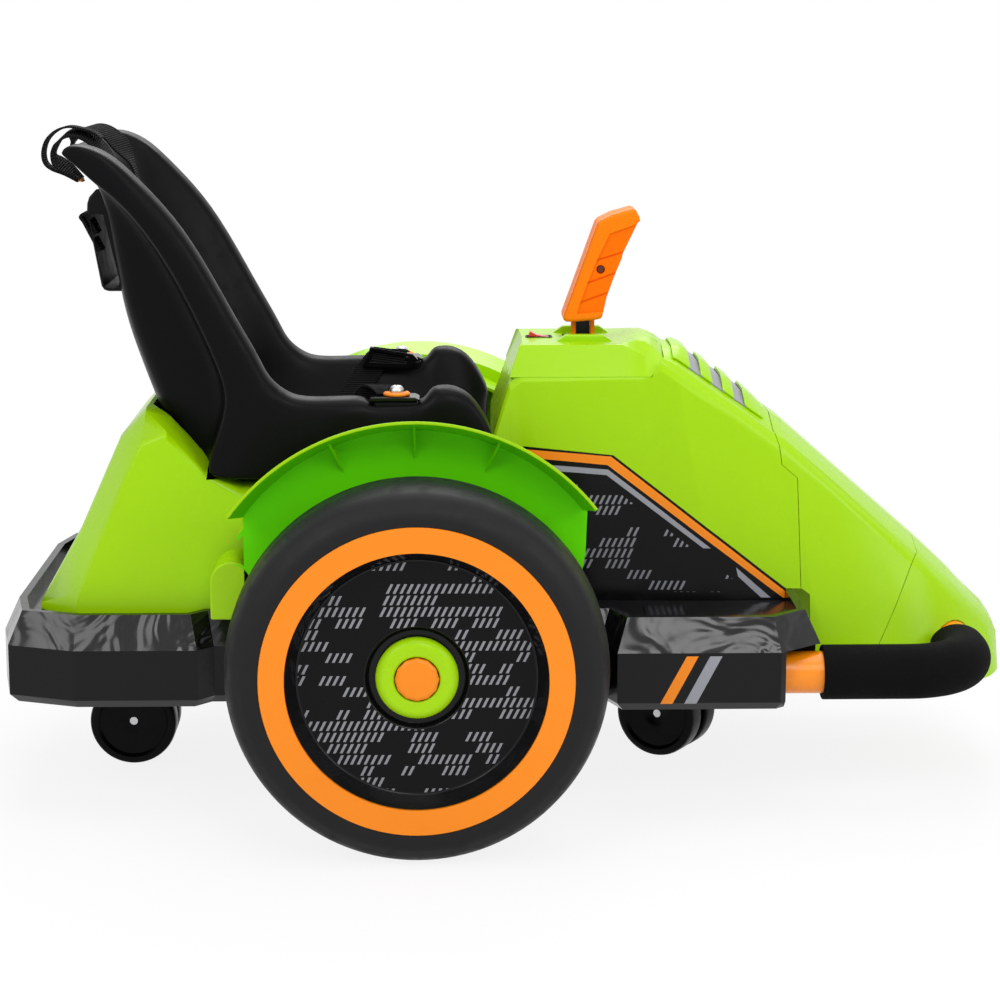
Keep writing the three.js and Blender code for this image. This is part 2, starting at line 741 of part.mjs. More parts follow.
function wheels() {
  const p = wheelProfiles();
  const onAxle = (profile, sides) => turned(profile, axleX, wheelRadius, sides);
  const parts = [
    ['tyre', onAxle(closedLoop(p.tyre), wheelSides), rubber],
    ['rim', cut(onAxle(closedLoop(p.rim), wheelSides), ...dogNotches()), blackGloss],
    ['wheel_ring', onAxle(closedLoop(p.ring), wheelSides), orangePlastic],
    ['hub_ring', onAxle(closedLoop(p.hubRing), 12), limePlastic],
    ['hub_cap', onAxle(p.hubCap, 12), orangePlastic],
  ];
  for (const [name, left, material] of parts) {
    add(`${name}_right`, mirrored(left), material);
    add(`${name}_left`, left, material);
  }
}

// Drive dogs: notches in the rim's inner hub that the gearbox output turns
const dogHalf = 4;
function dogNotches() {
  const hubInner = wheelInner + 10;
  return [
    block([axleX - 30, hubInner - overrun, wheelRadius - dogHalf],
      [axleX + 30, hubInner + 8, wheelRadius + dogHalf]),
    block([axleX - dogHalf, hubInner - overrun, wheelRadius - 30],
      [axleX + dogHalf, hubInner + 8, wheelRadius + 30]),
  ];
}
wheels();

// Drive axle, a fixed steel bar through the chassis and both wheels
function driveAxle() {
  const reach = wheelOuter - discRecess - 4;
  return bar('y', axleRadius, -reach, reach, [axleX, wheelRadius]);
}
add('drive_axle', driveAxle(), steel);

// A gearbox beside each wheel, with its motor pointing inboard above the tray floor
const motorRise = 72;
const motorRadius = 19;
function gearbox() {
  const low = 42;
  const high = 30;
  const inner = chassisWaistHalf + gap;
  const outer = fenderPlane + 12;
  const outline = [];
  for (let i = 0; i <= 6; i += 1) {
    const a = Math.PI * (1 + i / 6);
    outline.push([axleX + low * Math.cos(a), wheelRadius + low * Math.sin(a)]);
  }
  for (let i = 0; i <= 6; i += 1) {
    const a = (Math.PI * i) / 6;
    outline.push([axleX + high * Math.cos(a), wheelRadius + motorRise + high * Math.sin(a)]);
  }
  const hub = bar('y', 22, outer - 1, wheelInner + 10 - gap, [axleX, wheelRadius], 16);
  const boss = bar('y', 26, outer - 1, outer + 4, [axleX, wheelRadius + motorRise], 12);
  const body = join(slab(outline, inner, outer), hub, boss);
  return mirrored(cut(body, bar('y', axleRadius + gap, 0, wheelOuter, [axleX, wheelRadius])));
}
addPair('gearbox', gearbox(), blackPlastic);

function motor() {
  const length = 62;
  const outer = chassisWaistHalf;
  const inner = outer - length;
  const z = wheelRadius + motorRise;
  return mirrored(join(
    bar('y', motorRadius, inner, outer, [axleX, z]),
    bar('y', 7, inner - 5, inner + 1, [axleX, z], 12)));
}
addPair('motor', motor(), steel);

// Fender: arched wall beside the tyre, a lip over it, a deck towards the seat and a rear foot
function arcPoints(radius, fromDeg, toDeg, steps, cx, cz) {
  const points = [];
  for (let i = 0; i <= steps; i += 1) {
    const a = THREE.MathUtils.degToRad(fromDeg + ((toDeg - fromDeg) * i) / steps);
    points.push([cx + radius * Math.cos(a), cz + radius * Math.sin(a)]);
  }
  return points;
}

const archX = axleX - 2;
const archZ = wheelRadius + 10;
function archBand(inner, outer, fromDeg, toDeg, low, high) {
  const steps = 10;
  return slab([
    ...arcPoints(outer, fromDeg, toDeg, steps, archX, archZ),
    ...arcPoints(inner, fromDeg, toDeg, steps, archX, archZ).reverse(),
  ], low, high);
}

function fender() {
  const lipR = wheelRadius + fenderRise;
  const wallInner = 128;
  const deckR = lipR - 20;
  const [front, rear, wallEnd] = [38, 144, 184];
  const wallReach = 152;
  const inboard = seatHalf + skin;
  const rearEdge = archX - wallReach;
  const wall = archBand(wallInner, lipR, front, wallEnd, fenderPlane - fenderSkin, fenderPlane)
    .intersect(block([rearEdge, 0, rimZ + gap], [frontReach, wheelOuter, cowlTop]));
  const deck = archBand(deckR - fenderSkin, deckR, front + 2, 150, inboard, fenderPlane - 0.5);
  const lip = lipBand(lipR, front, rear);
  const gussets = [57, 90, 122].map((at) => gusset(lipR, at));
  const foot = join(
    block([rearEdge - 30, chassisWaistHalf - 20, rimZ + gap], [rearEdge + 8, fenderPlane, rimZ + 34]),
    bar('y', 19, chassisWaistHalf - 20, fenderPlane, [rearEdge - 11, rimZ + 34]));
  let body = join(wall, deck, lip, ...gussets, foot);
  body = cut(body, loft(rearBodySections(-gap)), loft(cowlSections(-gap)));
  return mirrored(body);
}

// The lip flares outwards, a little lower at its free edge than at the wall
function lipBand(lipR, fromDeg, toDeg) {
  const steps = 12;
  const lipDrop = 2;
  const sections = arcPoints(1, fromDeg, toDeg, steps, 0, 0).map(([dx, dz]) => ({
    outline: [
      [lipR - lipDrop - fenderSkin, fenderPlane - 0.5], [lipR - fenderSkin, fenderPlane + fenderLip],
      [lipR, fenderPlane + fenderLip], [lipR, fenderPlane - 0.5],
    ],
    place: (r, y) => [archX + dx * r, y, archZ + dz * r],
  }));
  return loft(sections);
}

function gusset(lipR, atDeg) {
  const halfDeg = 0.45;
  const run = 24;
  const deep = 42;
  const edge = (deg) => {
    const a = THREE.MathUtils.degToRad(deg);
    return {
      outline: [[lipR - deep, fenderPlane - 0.5], [lipR - 1.5, fenderPlane + run],
        [lipR - 1.5, fenderPlane - 0.5]],
      place: (r, y) => [archX + Math.cos(a) * r, y, archZ + Math.sin(a) * r],
    };
  };
  return loft([edge(atDeg - halfDeg), edge(atDeg + halfDeg)]);
}
addPair('fender', fender(), limePlastic);

// Bucket seat, lofted along its spine. Each row gives the back or underside of the shell, the rim
// above it, how much of the depth lies below the wide outer band, and how full the shell is.
const seatBase = deckZ + gap;
const seatShares = [
  [0.000, 0.000, 0.000, 0.160, 0.04, 0],
  [0.047, 0.000, 0.041, 0.259, 0.04, 0],
  [0.100, 0.000, 0.093, 0.297, 0.04, 0],
  [0.145, 0.000, 0.143, 0.290, 0.04, 0],
  [0.165, 0.000, 0.163, 0.246, 0.04, 0],
  [0.287, 0.000, 0.287, 0.242, 0.04, 0],
  [0.306, 0.000, 0.303, 0.263, 0.04, 0],
  [0.430, 0.000, 0.410, 0.257, 0.04, 0],
  [0.560, 0.000, 0.450, 0.260, 0.03, 0],
  [0.686, 0.003, 0.474, 0.268, 0.03, 0],
  [0.725, 0.025, 0.503, 0.291, 0.24, 0],
  [0.767, 0.082, 0.528, 0.323, 0.58, 0],
  [0.803, 0.166, 0.549, 0.384, 0.645, 0],
  [0.840, 0.292, 0.600, 0.492, 0.672, 0],
  [0.883, 0.448, 0.661, 0.637, 0.67, 0],
  [0.898, 0.575, 0.733, 0.781, 0.625, 0],
  [0.907, 0.736, 0.826, 0.900, 0.50, 0],
  [0.925, 0.862, 0.883, 0.964, 0.08, 0],
  [0.958, 0.917, 0.948, 0.992, 0.06, 0.6],
  [0.992, 0.955, 0.979, 0.981, 0.06, 1],
];
const seatWall = 16;
const seatLip = 14;            // radius of the rolled rim
const rimWide = 38;            // width of the rolled rim
const thinDepth = 70;          // below this depth the shell's roundings get smaller with it

function seatStation([bx, bz, rx, rz, bandShare, fullShare]) {
  const back = [seatFront - seatLength * bx, seatBase + seatHeight * bz];
  const rim = [seatFront - seatLength * rx, seatBase + seatHeight * rz];
  const depth = Math.hypot(rim[0] - back[0], rim[1] - back[1]);
  const up = [(rim[0] - back[0]) / depth, (rim[1] - back[1]) / depth];
  return { back, rim, depth, up, bandShare, fullShare };
}

// Half outline of the shell in y and depth, from the middle of the back out to the rim and in again
const seatOuterCount = 8;
function seatHalfOutline({ depth, bandShare, fullShare }) {
  const w = seatHalf;
  const band = depth * bandShare;
  const fit = Math.min(1, depth / thinDepth);
  const lip = seatLip * fit;
  const wall = Math.max(seatWall * fit, depth * 0.97 * fullShare);
  const shoulder = Math.max(depth - lip, wall);
  const inside = Math.min(Math.max(band + 0.4 * lip, wall + (depth - wall) * 0.35), shoulder - 0.05 * lip);
  const floor = Math.min(Math.max(band - 0.6 * lip, wall + 0.35 * lip * (1 - fullShare)),
    inside - 0.03 * lip);
  return [
    [0.52 * w, 0], [0.68 * w, 0.2 * band], [0.735 * w, band],
    [0.98 * w, band + 0.2 * lip], [w, band + 0.6 * lip],
    [w, depth - lip], [w - 0.35 * lip, depth - 0.28 * lip], [w - rimWide / 2, depth],
    [w - rimWide + 0.35 * lip, depth - 0.28 * lip], [w - rimWide, shoulder],
    [w - rimWide - 0.6 * lip, inside], [0.63 * w, floor], [0.46 * w, wall],
  ];
}

function seatShell() {
  const sections = seatShares.map((row) => {
    const station = seatStation(row);
    const half = seatHalfOutline(station);
    const outline = [...half, ...half.map(([y, t]) => [-y, t]).reverse()];
    const { back, up } = station;
    return { outline, place: (y, t) => [back[0] + up[0] * t, y, back[1] + up[1] * t] };
  });
  return loft(sections);
}
const seatSolid = seatShell();

// The seat's outside with its bucket filled in, to nest it in the covers
function seatEnvelope(grow) {
  return loft(seatShares.map((row, i) => {
    const station = seatStation(row);
    const { back, up } = station;
    const outside = seatHalfOutline(station).slice(0, seatOuterCount);
    const half = outside.map(([y, t], k) => [y + grow, k === 0 ? -grow : t]);
    const outline = [...half, ...half.map(([y, t]) => [-y, t]).reverse()];
    const end = i === 0 ? grow : 0;
    return { outline, place: (y, t) => [back[0] + up[0] * t + end, y, back[1] + up[1] * t] };
  }));
}
add('rear_body', rearBody(), limePlastic);

const boltX = seatFront - seatLength * 0.226;
const boltY = seatHalf - rimWide / 2 - 2 * gap;
const boltRadius = 5;
function seat() {
  const holes = [-boltY, boltY].map(
    (y) => bar('z', boltRadius + gap, deckZ - overrun, deckZ + seatHeight, [boltX, y], 12));
  return cut(seatSolid, ...holes);
}
add('seat_shell', seat(), blackGloss);

// Seat fixings: a bolt and an orange washer on each rim pad, over the belt's end tab
const padRow = seatShares[5];
const padZ = seatBase + seatHeight * padRow[3];
const tabThick = 3;
const washerThick = 2.5;
const washerRadius = 12;
const washerLow = seatBase + seatHeight * Math.max(seatShares[4][3], padRow[3]) + 2 * gap + tabThick;
function washer() {
  return cut(bar('z', washerRadius, washerLow, washerLow + washerThick, [boltX, -boltY], 16),
    bar('z', boltRadius + gap, washerLow - overrun, washerLow + overrun, [boltX, -boltY], 12));
}
addPair('seat_washer', washer(), orangePlastic);

function seatBolt() {
  const headLow = washerLow + washerThick + gap;
  const [headRadius, headThick, crownRise] = [8, 3, 2];
  const shank = bar('z', boltRadius, deckZ + 3 * skin, headLow + headThick / 2, [boltX, -boltY], 8);
  const head = bar('z', headRadius, headLow, headLow + headThick, [boltX, -boltY], 8);
  const crown = bar('z', boltRadius, headLow + headThick / 2, headLow + headThick + crownRise,
    [boltX, -boltY], 8);
  return join(shank, head, crown);
}
addPair('seat_bolt', seatBolt(), steel);

// An open line drawn to one side by a distance, with mitred corners
function offsetLine(points, distance) {
  return points.map(([x, y], i) => {
    const before = points[Math.max(i - 1, 0)];
    const after = points[Math.min(i + 1, points.length - 1)];
    const unit = ([ax, ay], [bx, by]) => {
      const length = Math.hypot(bx - ax, by - ay);
      return length > 0 ? [(bx - ax) / length, (by - ay) / length] : null;
    };
    const first = unit(before, [x, y]) ?? unit([x, y], after);
    const second = unit([x, y], after) ?? first;
    const [nx, ny] = [-(first[1] + second[1]), first[0] + second[0]];
    const length = Math.hypot(nx, ny);
    const mitre = Math.max(0.5, (nx * -first[1] + ny * first[0]) / length);
    return [x + (nx / length) * (distance / mitre), y + (ny / length) * (distance / mitre)];
  });
}

function ribbon(points, low, high) {
  return [...offsetLine(points, low), ...offsetLine(points, high).reverse()];
}

// An outline of y and z made thick between two x planes
function crossSlab(outline, low, high) {
  const geometry = new THREE.ExtrudeGeometry(shapeOf(outline), { depth: high - low, bevelEnabled: false });
  geometry.applyMatrix4(new THREE.Matrix4().makeBasis(
    new THREE.Vector3(0, 1, 0), new THREE.Vector3(0, 0, 1), new THREE.Vector3(1, 0, 0)));
  geometry.translate(low, 0, 0);
  return solid(geometry);
}

// Lap belts: an end tab under each washer and webbing down to the buckle on the pan
const beltWidth = 25;
const beltThick = 2.5;
const buckleHalf = 24;
function lapBelt() {
  const half = seatHalfOutline(seatStation(padRow));
  const inner = half.slice(seatOuterCount - 1).map(([y, t]) => [-y, seatBase + t]);
  const line = [...inner, [-buckleHalf - gap, inner.at(-1)[1]]];
  const tabLow = washerLow - gap - tabThick;
  const tabRear = 21;
  const tabFront = 16;
  const tabHalfY = 14;
  const tab = block([boltX - tabRear, -boltY - tabHalfY, tabLow],
    [boltX + tabFront, -boltY + tabHalfY, tabLow + tabThick]);
  const lift = tabLow - inner[0][1];
  const strap = crossSlab(ribbon(line, lift, lift + beltThick), boltX - beltWidth / 2,
    boltX + beltWidth / 2);
  return cut(join(tab, strap), bar('z', boltRadius + gap, padZ - overrun, padZ + 2 * overrun,
    [boltX, -boltY], 12));
}
addPair('lap_belt', lapBelt(), webbing);

// Buckle in the middle of the pan, where the belts meet
const panZ = seatBase + seatWall;
const buckleReach = 22;
const buckleRear = boltX - buckleReach;
function buckle() {
  const [high, edge, bevel] = [13, 9, 8];
  const low = panZ + gap;
  const front = boltX + buckleReach;
  return slab([
    [buckleRear, low], [front, low], [front, low + edge], [front - bevel, low + high],
    [buckleRear + bevel, low + high], [buckleRear, low + edge],
  ], -buckleHalf, buckleHalf);
}
add('harness_buckle', buckle(), blackPlastic);

// Shoulder straps: from the buckle up the back, looped over its top edge and down into the bracket
const strapY = 58;
const rearStand = 5;
const loopRise = 7;
const loopRear = 26;
function seatInside(row) {
  const station = seatStation(row);
  const wall = seatHalfOutline(station).at(-1)[1];
  return [station.back[0] + station.up[0] * wall, station.back[1] + station.up[1] * wall];
}

function shoulderStrap() {
  const clear = 2 * gap + beltThick / 2;
  const inside = seatShares.slice(7).map(seatInside);
  const front = offsetLine([[buckleRear - gap, panZ], ...inside], -clear);
  const behind = offsetLine(seatShares.slice(14, 17).map((row) => seatStation(row).back),
    rearStand + clear).reverse();
  const top = inside.at(-1);
  const over = [
    [top[0] + loopRise, top[1] + clear + loopRise], [top[0] - loopRise, top[1] + clear + loopRise],
    [top[0] - loopRear, top[1] - loopRise], [top[0] - loopRear + loopRise, top[1] - 4 * loopRise],
  ];
  const line = [...front.slice(0, -1), ...over, ...behind];
  return slab(ribbon(line, -beltThick / 2, beltThick / 2), -strapY - beltWidth / 2,
    -strapY + beltWidth / 2);
}
addPair('shoulder_strap', shoulderStrap(), webbing);

// Harness bracket on the seat's back: a sleeve open above and below for the straps
const bracketDepth = 17;
const bracketWall = 2.5;
function harnessBracket() {
  const half = strapY + beltWidth / 2 + 2 * bracketWall;
  const [below, middle, above] = seatShares.slice(14, 17).map((row) => seatStation(row).back);
  const low = below.map((value, k) => value + (middle[k] - value) * 0.5);
  const outline = [low, middle, above];
  const outer = slab(ribbon(outline, gap, bracketDepth), -half, half);
  const beyond = (from, end) => [0, 1].map((k) => from[k] + (end[k] - from[k]) * 1.3);
  const longer = [beyond(middle, low), middle, beyond(middle, above)];
  const hollow = slab(ribbon(longer, gap + bracketWall, bracketDepth - bracketWall),
    -half + bracketWall, half - bracketWall);
  const slotLine = [low.map((value, k) => (value + middle[k]) / 2), middle,
    middle.map((value, k) => (value + above[k]) / 2)];
  const slot = slab(ribbon(slotLine, 0.35 * bracketDepth, 0.75 * bracketDepth), -chassisHalf, chassisHalf);
  return cut(outer, hollow, slot);
}
add('harness_bracket', harnessBracket(), blackPlastic);

// Joystick: housing under the lid, gimbal yoke, steel shaft, two grip halves and their bolt
const pivotZ = consoleZ - 18;
const trunnionRadius = 3;
const yokeHalfX = 13.5;
const yokeHalfY = 17;
function joystickHousing() {
  const wall = 4;
  const underPivot = 36;
  const top = consoleZ - skin - gap;
  const low = pivotZ - underPivot;
  const outer = block([stickX - wellHalfX - wall, -wellHalfY - wall, low],
    [stickX + wellHalfX + wall, wellHalfY + wall, top]);
  const inner = block([stickX - wellHalfX, -wellHalfY, low + wall],
    [stickX + wellHalfX, wellHalfY, top + overrun]);
  const seatBore = bar('x', trunnionRadius + gap, stickX - chassisHalf, stickX + chassisHalf,
    [0, pivotZ], 10);
  return cut(outer, inner, seatBore);
}
add('joystick_housing', joystickHousing(), blackPlastic);

const pinRadius = 2.5;
function gimbalYoke() {
  const high = 5;
  const slotX = 9;
  const slotY = 12.5;
  const ring = cut(
    block([stickX - yokeHalfX, -yokeHalfY, pivotZ - high], [stickX + yokeHalfX, yokeHalfY, pivotZ + high]),
    block([stickX - slotX, -slotY, pivotZ - overrun - high],
      [stickX + slotX, slotY, pivotZ + overrun + high]));
  const reach = wellHalfX + 3.5;
  const trunnions = [
    bar('x', trunnionRadius, stickX - reach, stickX - slotX - 1, [0, pivotZ], 10),
    bar('x', trunnionRadius, stickX + slotX + 1, stickX + reach, [0, pivotZ], 10),
  ];
  return cut(join(ring, ...trunnions), bar('y', pinRadius + gap, -chassisHalf, chassisHalf,
    [stickX, pivotZ], 10));
}
add('gimbal_yoke', gimbalYoke(), steel);
add('joystick_pin', bar('y', pinRadius, -yokeHalfY, yokeHalfY, [stickX, pivotZ], 10), steel);

// The grip's side outline, in shares of its length and width, leaning forward
const gripLean = 24;
const gripLength = 104;
const gripWidth = 41;
const gripLowZ = consoleZ + 18;
const gripHalf = 25;
const shaftHalfY = 4;
const boltShare = 0.47;
function gripPoint(along, across) {
  const lean = THREE.MathUtils.degToRad(gripLean);
  const [u, v] = [along * gripLength, across * gripWidth];
  return [stickX - 2 + Math.sin(lean) * u + Math.cos(lean) * v,
    gripLowZ + Math.cos(lean) * u - Math.sin(lean) * v];
}

function gripOutline() {
  const shares = [
    [-0.05, -0.32], [0.02, -0.47], [0.05, -0.48], [0.30, -0.47],
    [0.60, -0.46], [0.86, -0.45], [0.93, -0.42],
    [1.00, 0.32], [0.985, 0.41], [0.93, 0.46], [0.90, 0.45], [0.87, 0.38], [0.66, 0.36], [0.63, 0.43],
    [0.44, 0.43], [0.41, 0.36], [0.24, 0.37], [0.21, 0.45], [0.04, 0.50], [-0.01, 0.46], [-0.05, 0.10],
  ];
  return shares.map(([along, across]) => gripPoint(along, across));
}

function joystickShaft() {
  const half = 6.5;
  const foot = 6;
  const outline = [
    [stickX - foot, pivotZ - foot], [stickX + foot, pivotZ - foot], [stickX + half, pivotZ + foot],
    [stickX + half, gripLowZ], gripPoint(0.8, 0.16), gripPoint(0.8, -0.16), [stickX - half, gripLowZ],
    [stickX - half, pivotZ + foot],
  ];
  return cut(slab(outline, -shaftHalfY, shaftHalfY),
    bar('y', pinRadius + gap, -gripHalf, gripHalf, [stickX, pivotZ], 10),
    bar('y', pinRadius + gap, -gripHalf, gripHalf, gripPoint(boltShare, 0), 10));
}
add('joystick_shaft', joystickShaft(), steel);

function grip() {
  const innerY = shaftHalfY + gap;
  const tongueLow = gripLowZ - 13;
  const outline = gripOutline();
  const panelDepth = 1.5;
  const panel = slab(inset([gripPoint(0.06, 0.28), gripPoint(0.9, 0.22), gripPoint(0.86, -0.3),
    gripPoint(0.06, -0.3)], 0),
    gripHalf - panelDepth, gripHalf + overrun);
  const ribs = [0.2, 0.68, 0.78].map((at) => slab([
    gripPoint(at, 0.3), gripPoint(at + 0.05, 0.3), gripPoint(at - 0.03, -0.36), gripPoint(at - 0.08, -0.36),
  ].reverse(), gripHalf - 2 * panelDepth, gripHalf));
  let body = cut(slab(outline, innerY, gripHalf), cut(panel, ...ribs));
  for (const side of [-1, 1]) {
    const near = stickX + side * 7.5;
    const far = stickX + side * 11;
    body = body.add(block([Math.min(near, far), innerY, tongueLow],
      [Math.max(near, far), innerY + 5, gripLowZ + 6]));
  }
  const bolt = gripPoint(boltShare, 0);
  return mirrored(cut(body, bar('y', pinRadius + gap, 0, 2 * gripHalf, bolt, 10)));
}
addPair('joystick_grip', grip(), orangePlastic);

function gripBolt() {
  const head = 4.5;
  const face = gripHalf - 1.5 + gap;
  const at = gripPoint(boltShare, 0);
  return join(bar('y', pinRadius, -face - 1, face + 1, at, 10),
    bar('y', head, face, face + 2, at, 10), bar('y', head, -face - 2, -face, at, 10));
}
add('grip_bolt', gripBolt(), steel);

// Battery and control box on the tray floor, under the tail cover and the seat
const batteryHalf = 32.5;
const batteryRoom = 8;
const batteryX = humpX + batteryRoom + batteryHalf;
function battery() {
  const halfY = 75.5;
  const high = 94;
  const postRadius = 6;
  const postX = 18;
  const postY = 55;
  const low = floorZ + gap;
  const box = block([batteryX - batteryHalf, -halfY, low], [batteryX + batteryHalf, halfY, low + high]);
  const posts = [-1, 1].map((side) => bar('z', postRadius, low + high - gap, low + high + postRadius,
    [batteryX + postX, side * postY], 12));
  return join(box, ...posts);
}
add('battery', battery(), blackPlastic);

function controlBox() {
  const length = 90;
  const half = 52;
  const high = 36;
  const bevel = 5;
  const rear = batteryX + batteryHalf + bevel;
  const front = rear + length;
  const low = floorZ + gap;
  return slab([
    [rear, low], [front, low], [front, low + high - bevel], [front - bevel, low + high],
    [rear + bevel, low + high], [rear, low + high - bevel],
  ], -half, half);
}
add('control_box', controlBox(), blackPlastic);

// Twin-wheel casters, drawn about the swivel axis with the wheels trailing
function casterParts() {
  const plateThick = 5;
  const plateTop = chassisBottom - gap;
  const crownTop = plateTop - plateThick - gap;
  const crownThick = 8;
  const webHalf = 4;
  const hoodInner = casterRadius + 3;
  const hoodOuter = hoodInner + 3;
  const axle = 4;
  const hub = casterHalf - 6;
  const plate = cut(bar('z', 30, plateTop - plateThick, plateTop, [0, 0], 16),
    bar('z', stemRadius + gap, 0, 2 * chassisBottom, [0, 0], 12));
  const stem = bar('z', stemRadius, crownTop - 1, floorZ - 2 * chassisWall - 2, [0, 0], 12);
  const crown = bar('z', 20, crownTop - crownThick, crownTop, [0, 0], 16);
  const web = slab([
    [-casterTrail - 9, casterRadius - 6], [-casterTrail + 9, casterRadius - 6],
    [12, crownTop - crownThick - 6],
    [14, crownTop - 1], [-14, crownTop - 1], [-casterTrail - 14, casterRadius + 30],
  ], -webHalf, webHalf);
  const wheelArc = (radius) => arcPoints(radius, 20, 150, 5, -casterTrail, casterRadius);
  const hood = slab([...wheelArc(hoodOuter), ...wheelArc(hoodInner).reverse()], -casterHalf + 3,
    casterHalf - 3);
  const fork = cut(join(stem, crown, web, hood),
    bar('y', axle + gap, -hub, hub, [-casterTrail, casterRadius], 10));
  const inner = webHalf + gap + 0.5;
  const wheel = turned([
    [0, hub + gap], [axle + gap, hub + gap], [axle + gap, inner], [casterRadius - 4, inner],
    [casterRadius, inner + 4], [casterRadius, casterHalf - 4], [casterRadius - 4, casterHalf],
    [casterRadius - 8, casterHalf], [casterRadius - 10, casterHalf - 3], [0, casterHalf - 3],
  ], -casterTrail, casterRadius, 12);
  return { plate, fork, wheel, axle: bar('y', axle, -hub, hub, [-casterTrail, casterRadius], 10) };
}

function addCaster(name, x, turnDegrees) {
  const parts = casterParts();
  const group = new THREE.Group();
  group.position.set(x, 0, 0);
  group.rotation.z = THREE.MathUtils.degToRad(turnDegrees);
  model.add(group);
  add(`${name}_caster_plate`, parts.plate, steel, group);
  add(`${name}_caster_fork`, parts.fork, blackPlastic, group);
  add(`${name}_caster_axle`, parts.axle, steel, group);
  add(`${name}_caster_wheel_left`, parts.wheel, blackPlastic, group);
  add(`${name}_caster_wheel_right`, mirrored(parts.wheel), blackPlastic, group);
}
addCaster('rear', rearCasterX, 0);
addCaster('front', frontCasterX, frontCasterTurn);

export default model;
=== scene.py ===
import math
import bmesh
import bpy
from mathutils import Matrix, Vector


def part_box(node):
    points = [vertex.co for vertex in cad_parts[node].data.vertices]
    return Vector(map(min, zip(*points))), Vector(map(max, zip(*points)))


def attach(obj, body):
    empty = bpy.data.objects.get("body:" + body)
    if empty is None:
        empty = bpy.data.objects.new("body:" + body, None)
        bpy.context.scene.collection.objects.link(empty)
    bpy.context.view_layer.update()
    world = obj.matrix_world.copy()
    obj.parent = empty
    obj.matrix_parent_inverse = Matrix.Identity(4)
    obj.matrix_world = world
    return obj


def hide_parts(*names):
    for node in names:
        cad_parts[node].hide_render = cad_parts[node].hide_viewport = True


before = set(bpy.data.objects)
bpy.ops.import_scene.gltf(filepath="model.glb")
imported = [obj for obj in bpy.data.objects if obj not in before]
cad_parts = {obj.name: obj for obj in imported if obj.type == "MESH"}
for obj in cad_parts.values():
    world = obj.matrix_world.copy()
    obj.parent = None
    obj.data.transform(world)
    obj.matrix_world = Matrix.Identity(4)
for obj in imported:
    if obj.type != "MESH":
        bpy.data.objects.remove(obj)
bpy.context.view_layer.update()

# The studio: a pale floor under the wheels and a plain world. The camera stands where the
# photograph was taken from, 2.4 m to the kart's right and a little above it.
scene = bpy.context.scene
scene.view_settings.view_transform = "Standard"
photo_width = 1000
focal_length = 2512.9
sensor = 36
tilt, pan = math.radians(78.97), math.radians(-1.232)
bpy.ops.object.camera_add(location=(-0.0639, -2.4, 0.7245), rotation=(tilt, 0, pan))
camera = bpy.context.object
camera.name = "camera"
camera.data.sensor_width = sensor
camera.data.lens = sensor * focal_length / photo_width
scene.camera = camera

for name, place, aim, size, power in [
    ("lamp_left", (-2.2, -2.6, 2.4), (0, 0, 0.3), 1.6, 32),
    ("lamp_right", (2.6, -2.2, 1.9), (0, 0, 0.25), 1.3, 21),
    ("lamp_front", (0.62, -2.9, 2.45), (0, 0, 0.25), 1.1, 22),
    ("lamp_top", (0.1, -0.3, 2.7), (0, 0, 0.3), 1.9, 22),
    ("lamp_back", (0.15, 2.3, 2.75), (0, 0, 0.35), 2.2, 55),
]:
    way = Vector(aim) - Vector(place)
    bpy.ops.object.light_add(type="AREA", location=place, rotation=way.to_track_quat("-Z", "Y").to_euler())
    lamp = bpy.context.object
    lamp.name = name
    lamp.data.size = size
    lamp.data.energy = power


def feed(tree, node, inputs):
    """Sets inputs of a node, each to a value or to another node's output."""
    for place, value in inputs.items():
        if isinstance(value, bpy.types.NodeSocket):
            tree.links.new(value, node.inputs[place])
        else:
            node.inputs[place].default_value = value


def add_node(tree, kind, inputs, operation=None):
    node = tree.nodes.new("ShaderNode" + kind)
    if operation:
        node.operation = operation
    if kind == "Mix":
        node.data_type = "RGBA"
    feed(tree, node, inputs)
    return node


def seen_directly(tree):
    """1 for what the camera, a mirror or a window sees, and 0 for what only lights the kart."""
    path = add_node(tree, "LightPath", {}).outputs
    both = add_node(tree, "Math", {0: path["Is Glossy Ray"], 1: path["Is Transmission Ray"]}, "MAXIMUM")
    return add_node(tree, "Math", {0: path["Is Camera Ray"], 1: both.outputs[0]}, "MAXIMUM").outputs[0]


scene.world = bpy.data.worlds.new("studio")
scene.world.use_nodes = True
tree = scene.world.node_tree
strength = add_node(tree, "MapRange", {"Value": seen_directly(tree), "To Min": 0.56, "To Max": 1})
feed(tree, tree.nodes["Background"], {"Color": (1, 1, 1, 1), "Strength": strength.outputs["Result"]})

bpy.ops.mesh.primitive_plane_add(size=400, location=(0, 0, 0))
floor = bpy.context.object
floor.name = "floor"
floor_paint = bpy.data.materials.new("floor_paint")
floor_paint.use_nodes = True
tree = floor_paint.node_tree
matt = tree.nodes["Principled BSDF"]
feed(tree, matt, {"Base Color": (0.86, 0.86, 0.86, 1), "Roughness": 0.9, "Specular IOR Level": 0.1})
glow = add_node(tree, "Emission", {"Color": (1, 1, 1, 1)})
far = add_node(tree, "VectorMath", {0: add_node(tree, "TexCoord", {}).outputs["Object"]}, "LENGTH")
fading = add_node(tree, "MapRange", {"Value": far.outputs["Value"], "From Min": 0.5, "From Max": 2.2,
                                     "To Min": 0.86, "To Max": 1})
glow_share = add_node(tree, "Math", {0: seen_directly(tree), 1: fading.outputs["Result"]}, "MULTIPLY")
blend = add_node(tree, "MixShader", {"Fac": glow_share.outputs[0], 1: matt.outputs["BSDF"],
                                     2: glow.outputs["Emission"]})
feed(tree, tree.nodes["Material Output"], {"Surface": blend.outputs["Shader"]})
floor.data.materials.append(floor_paint)


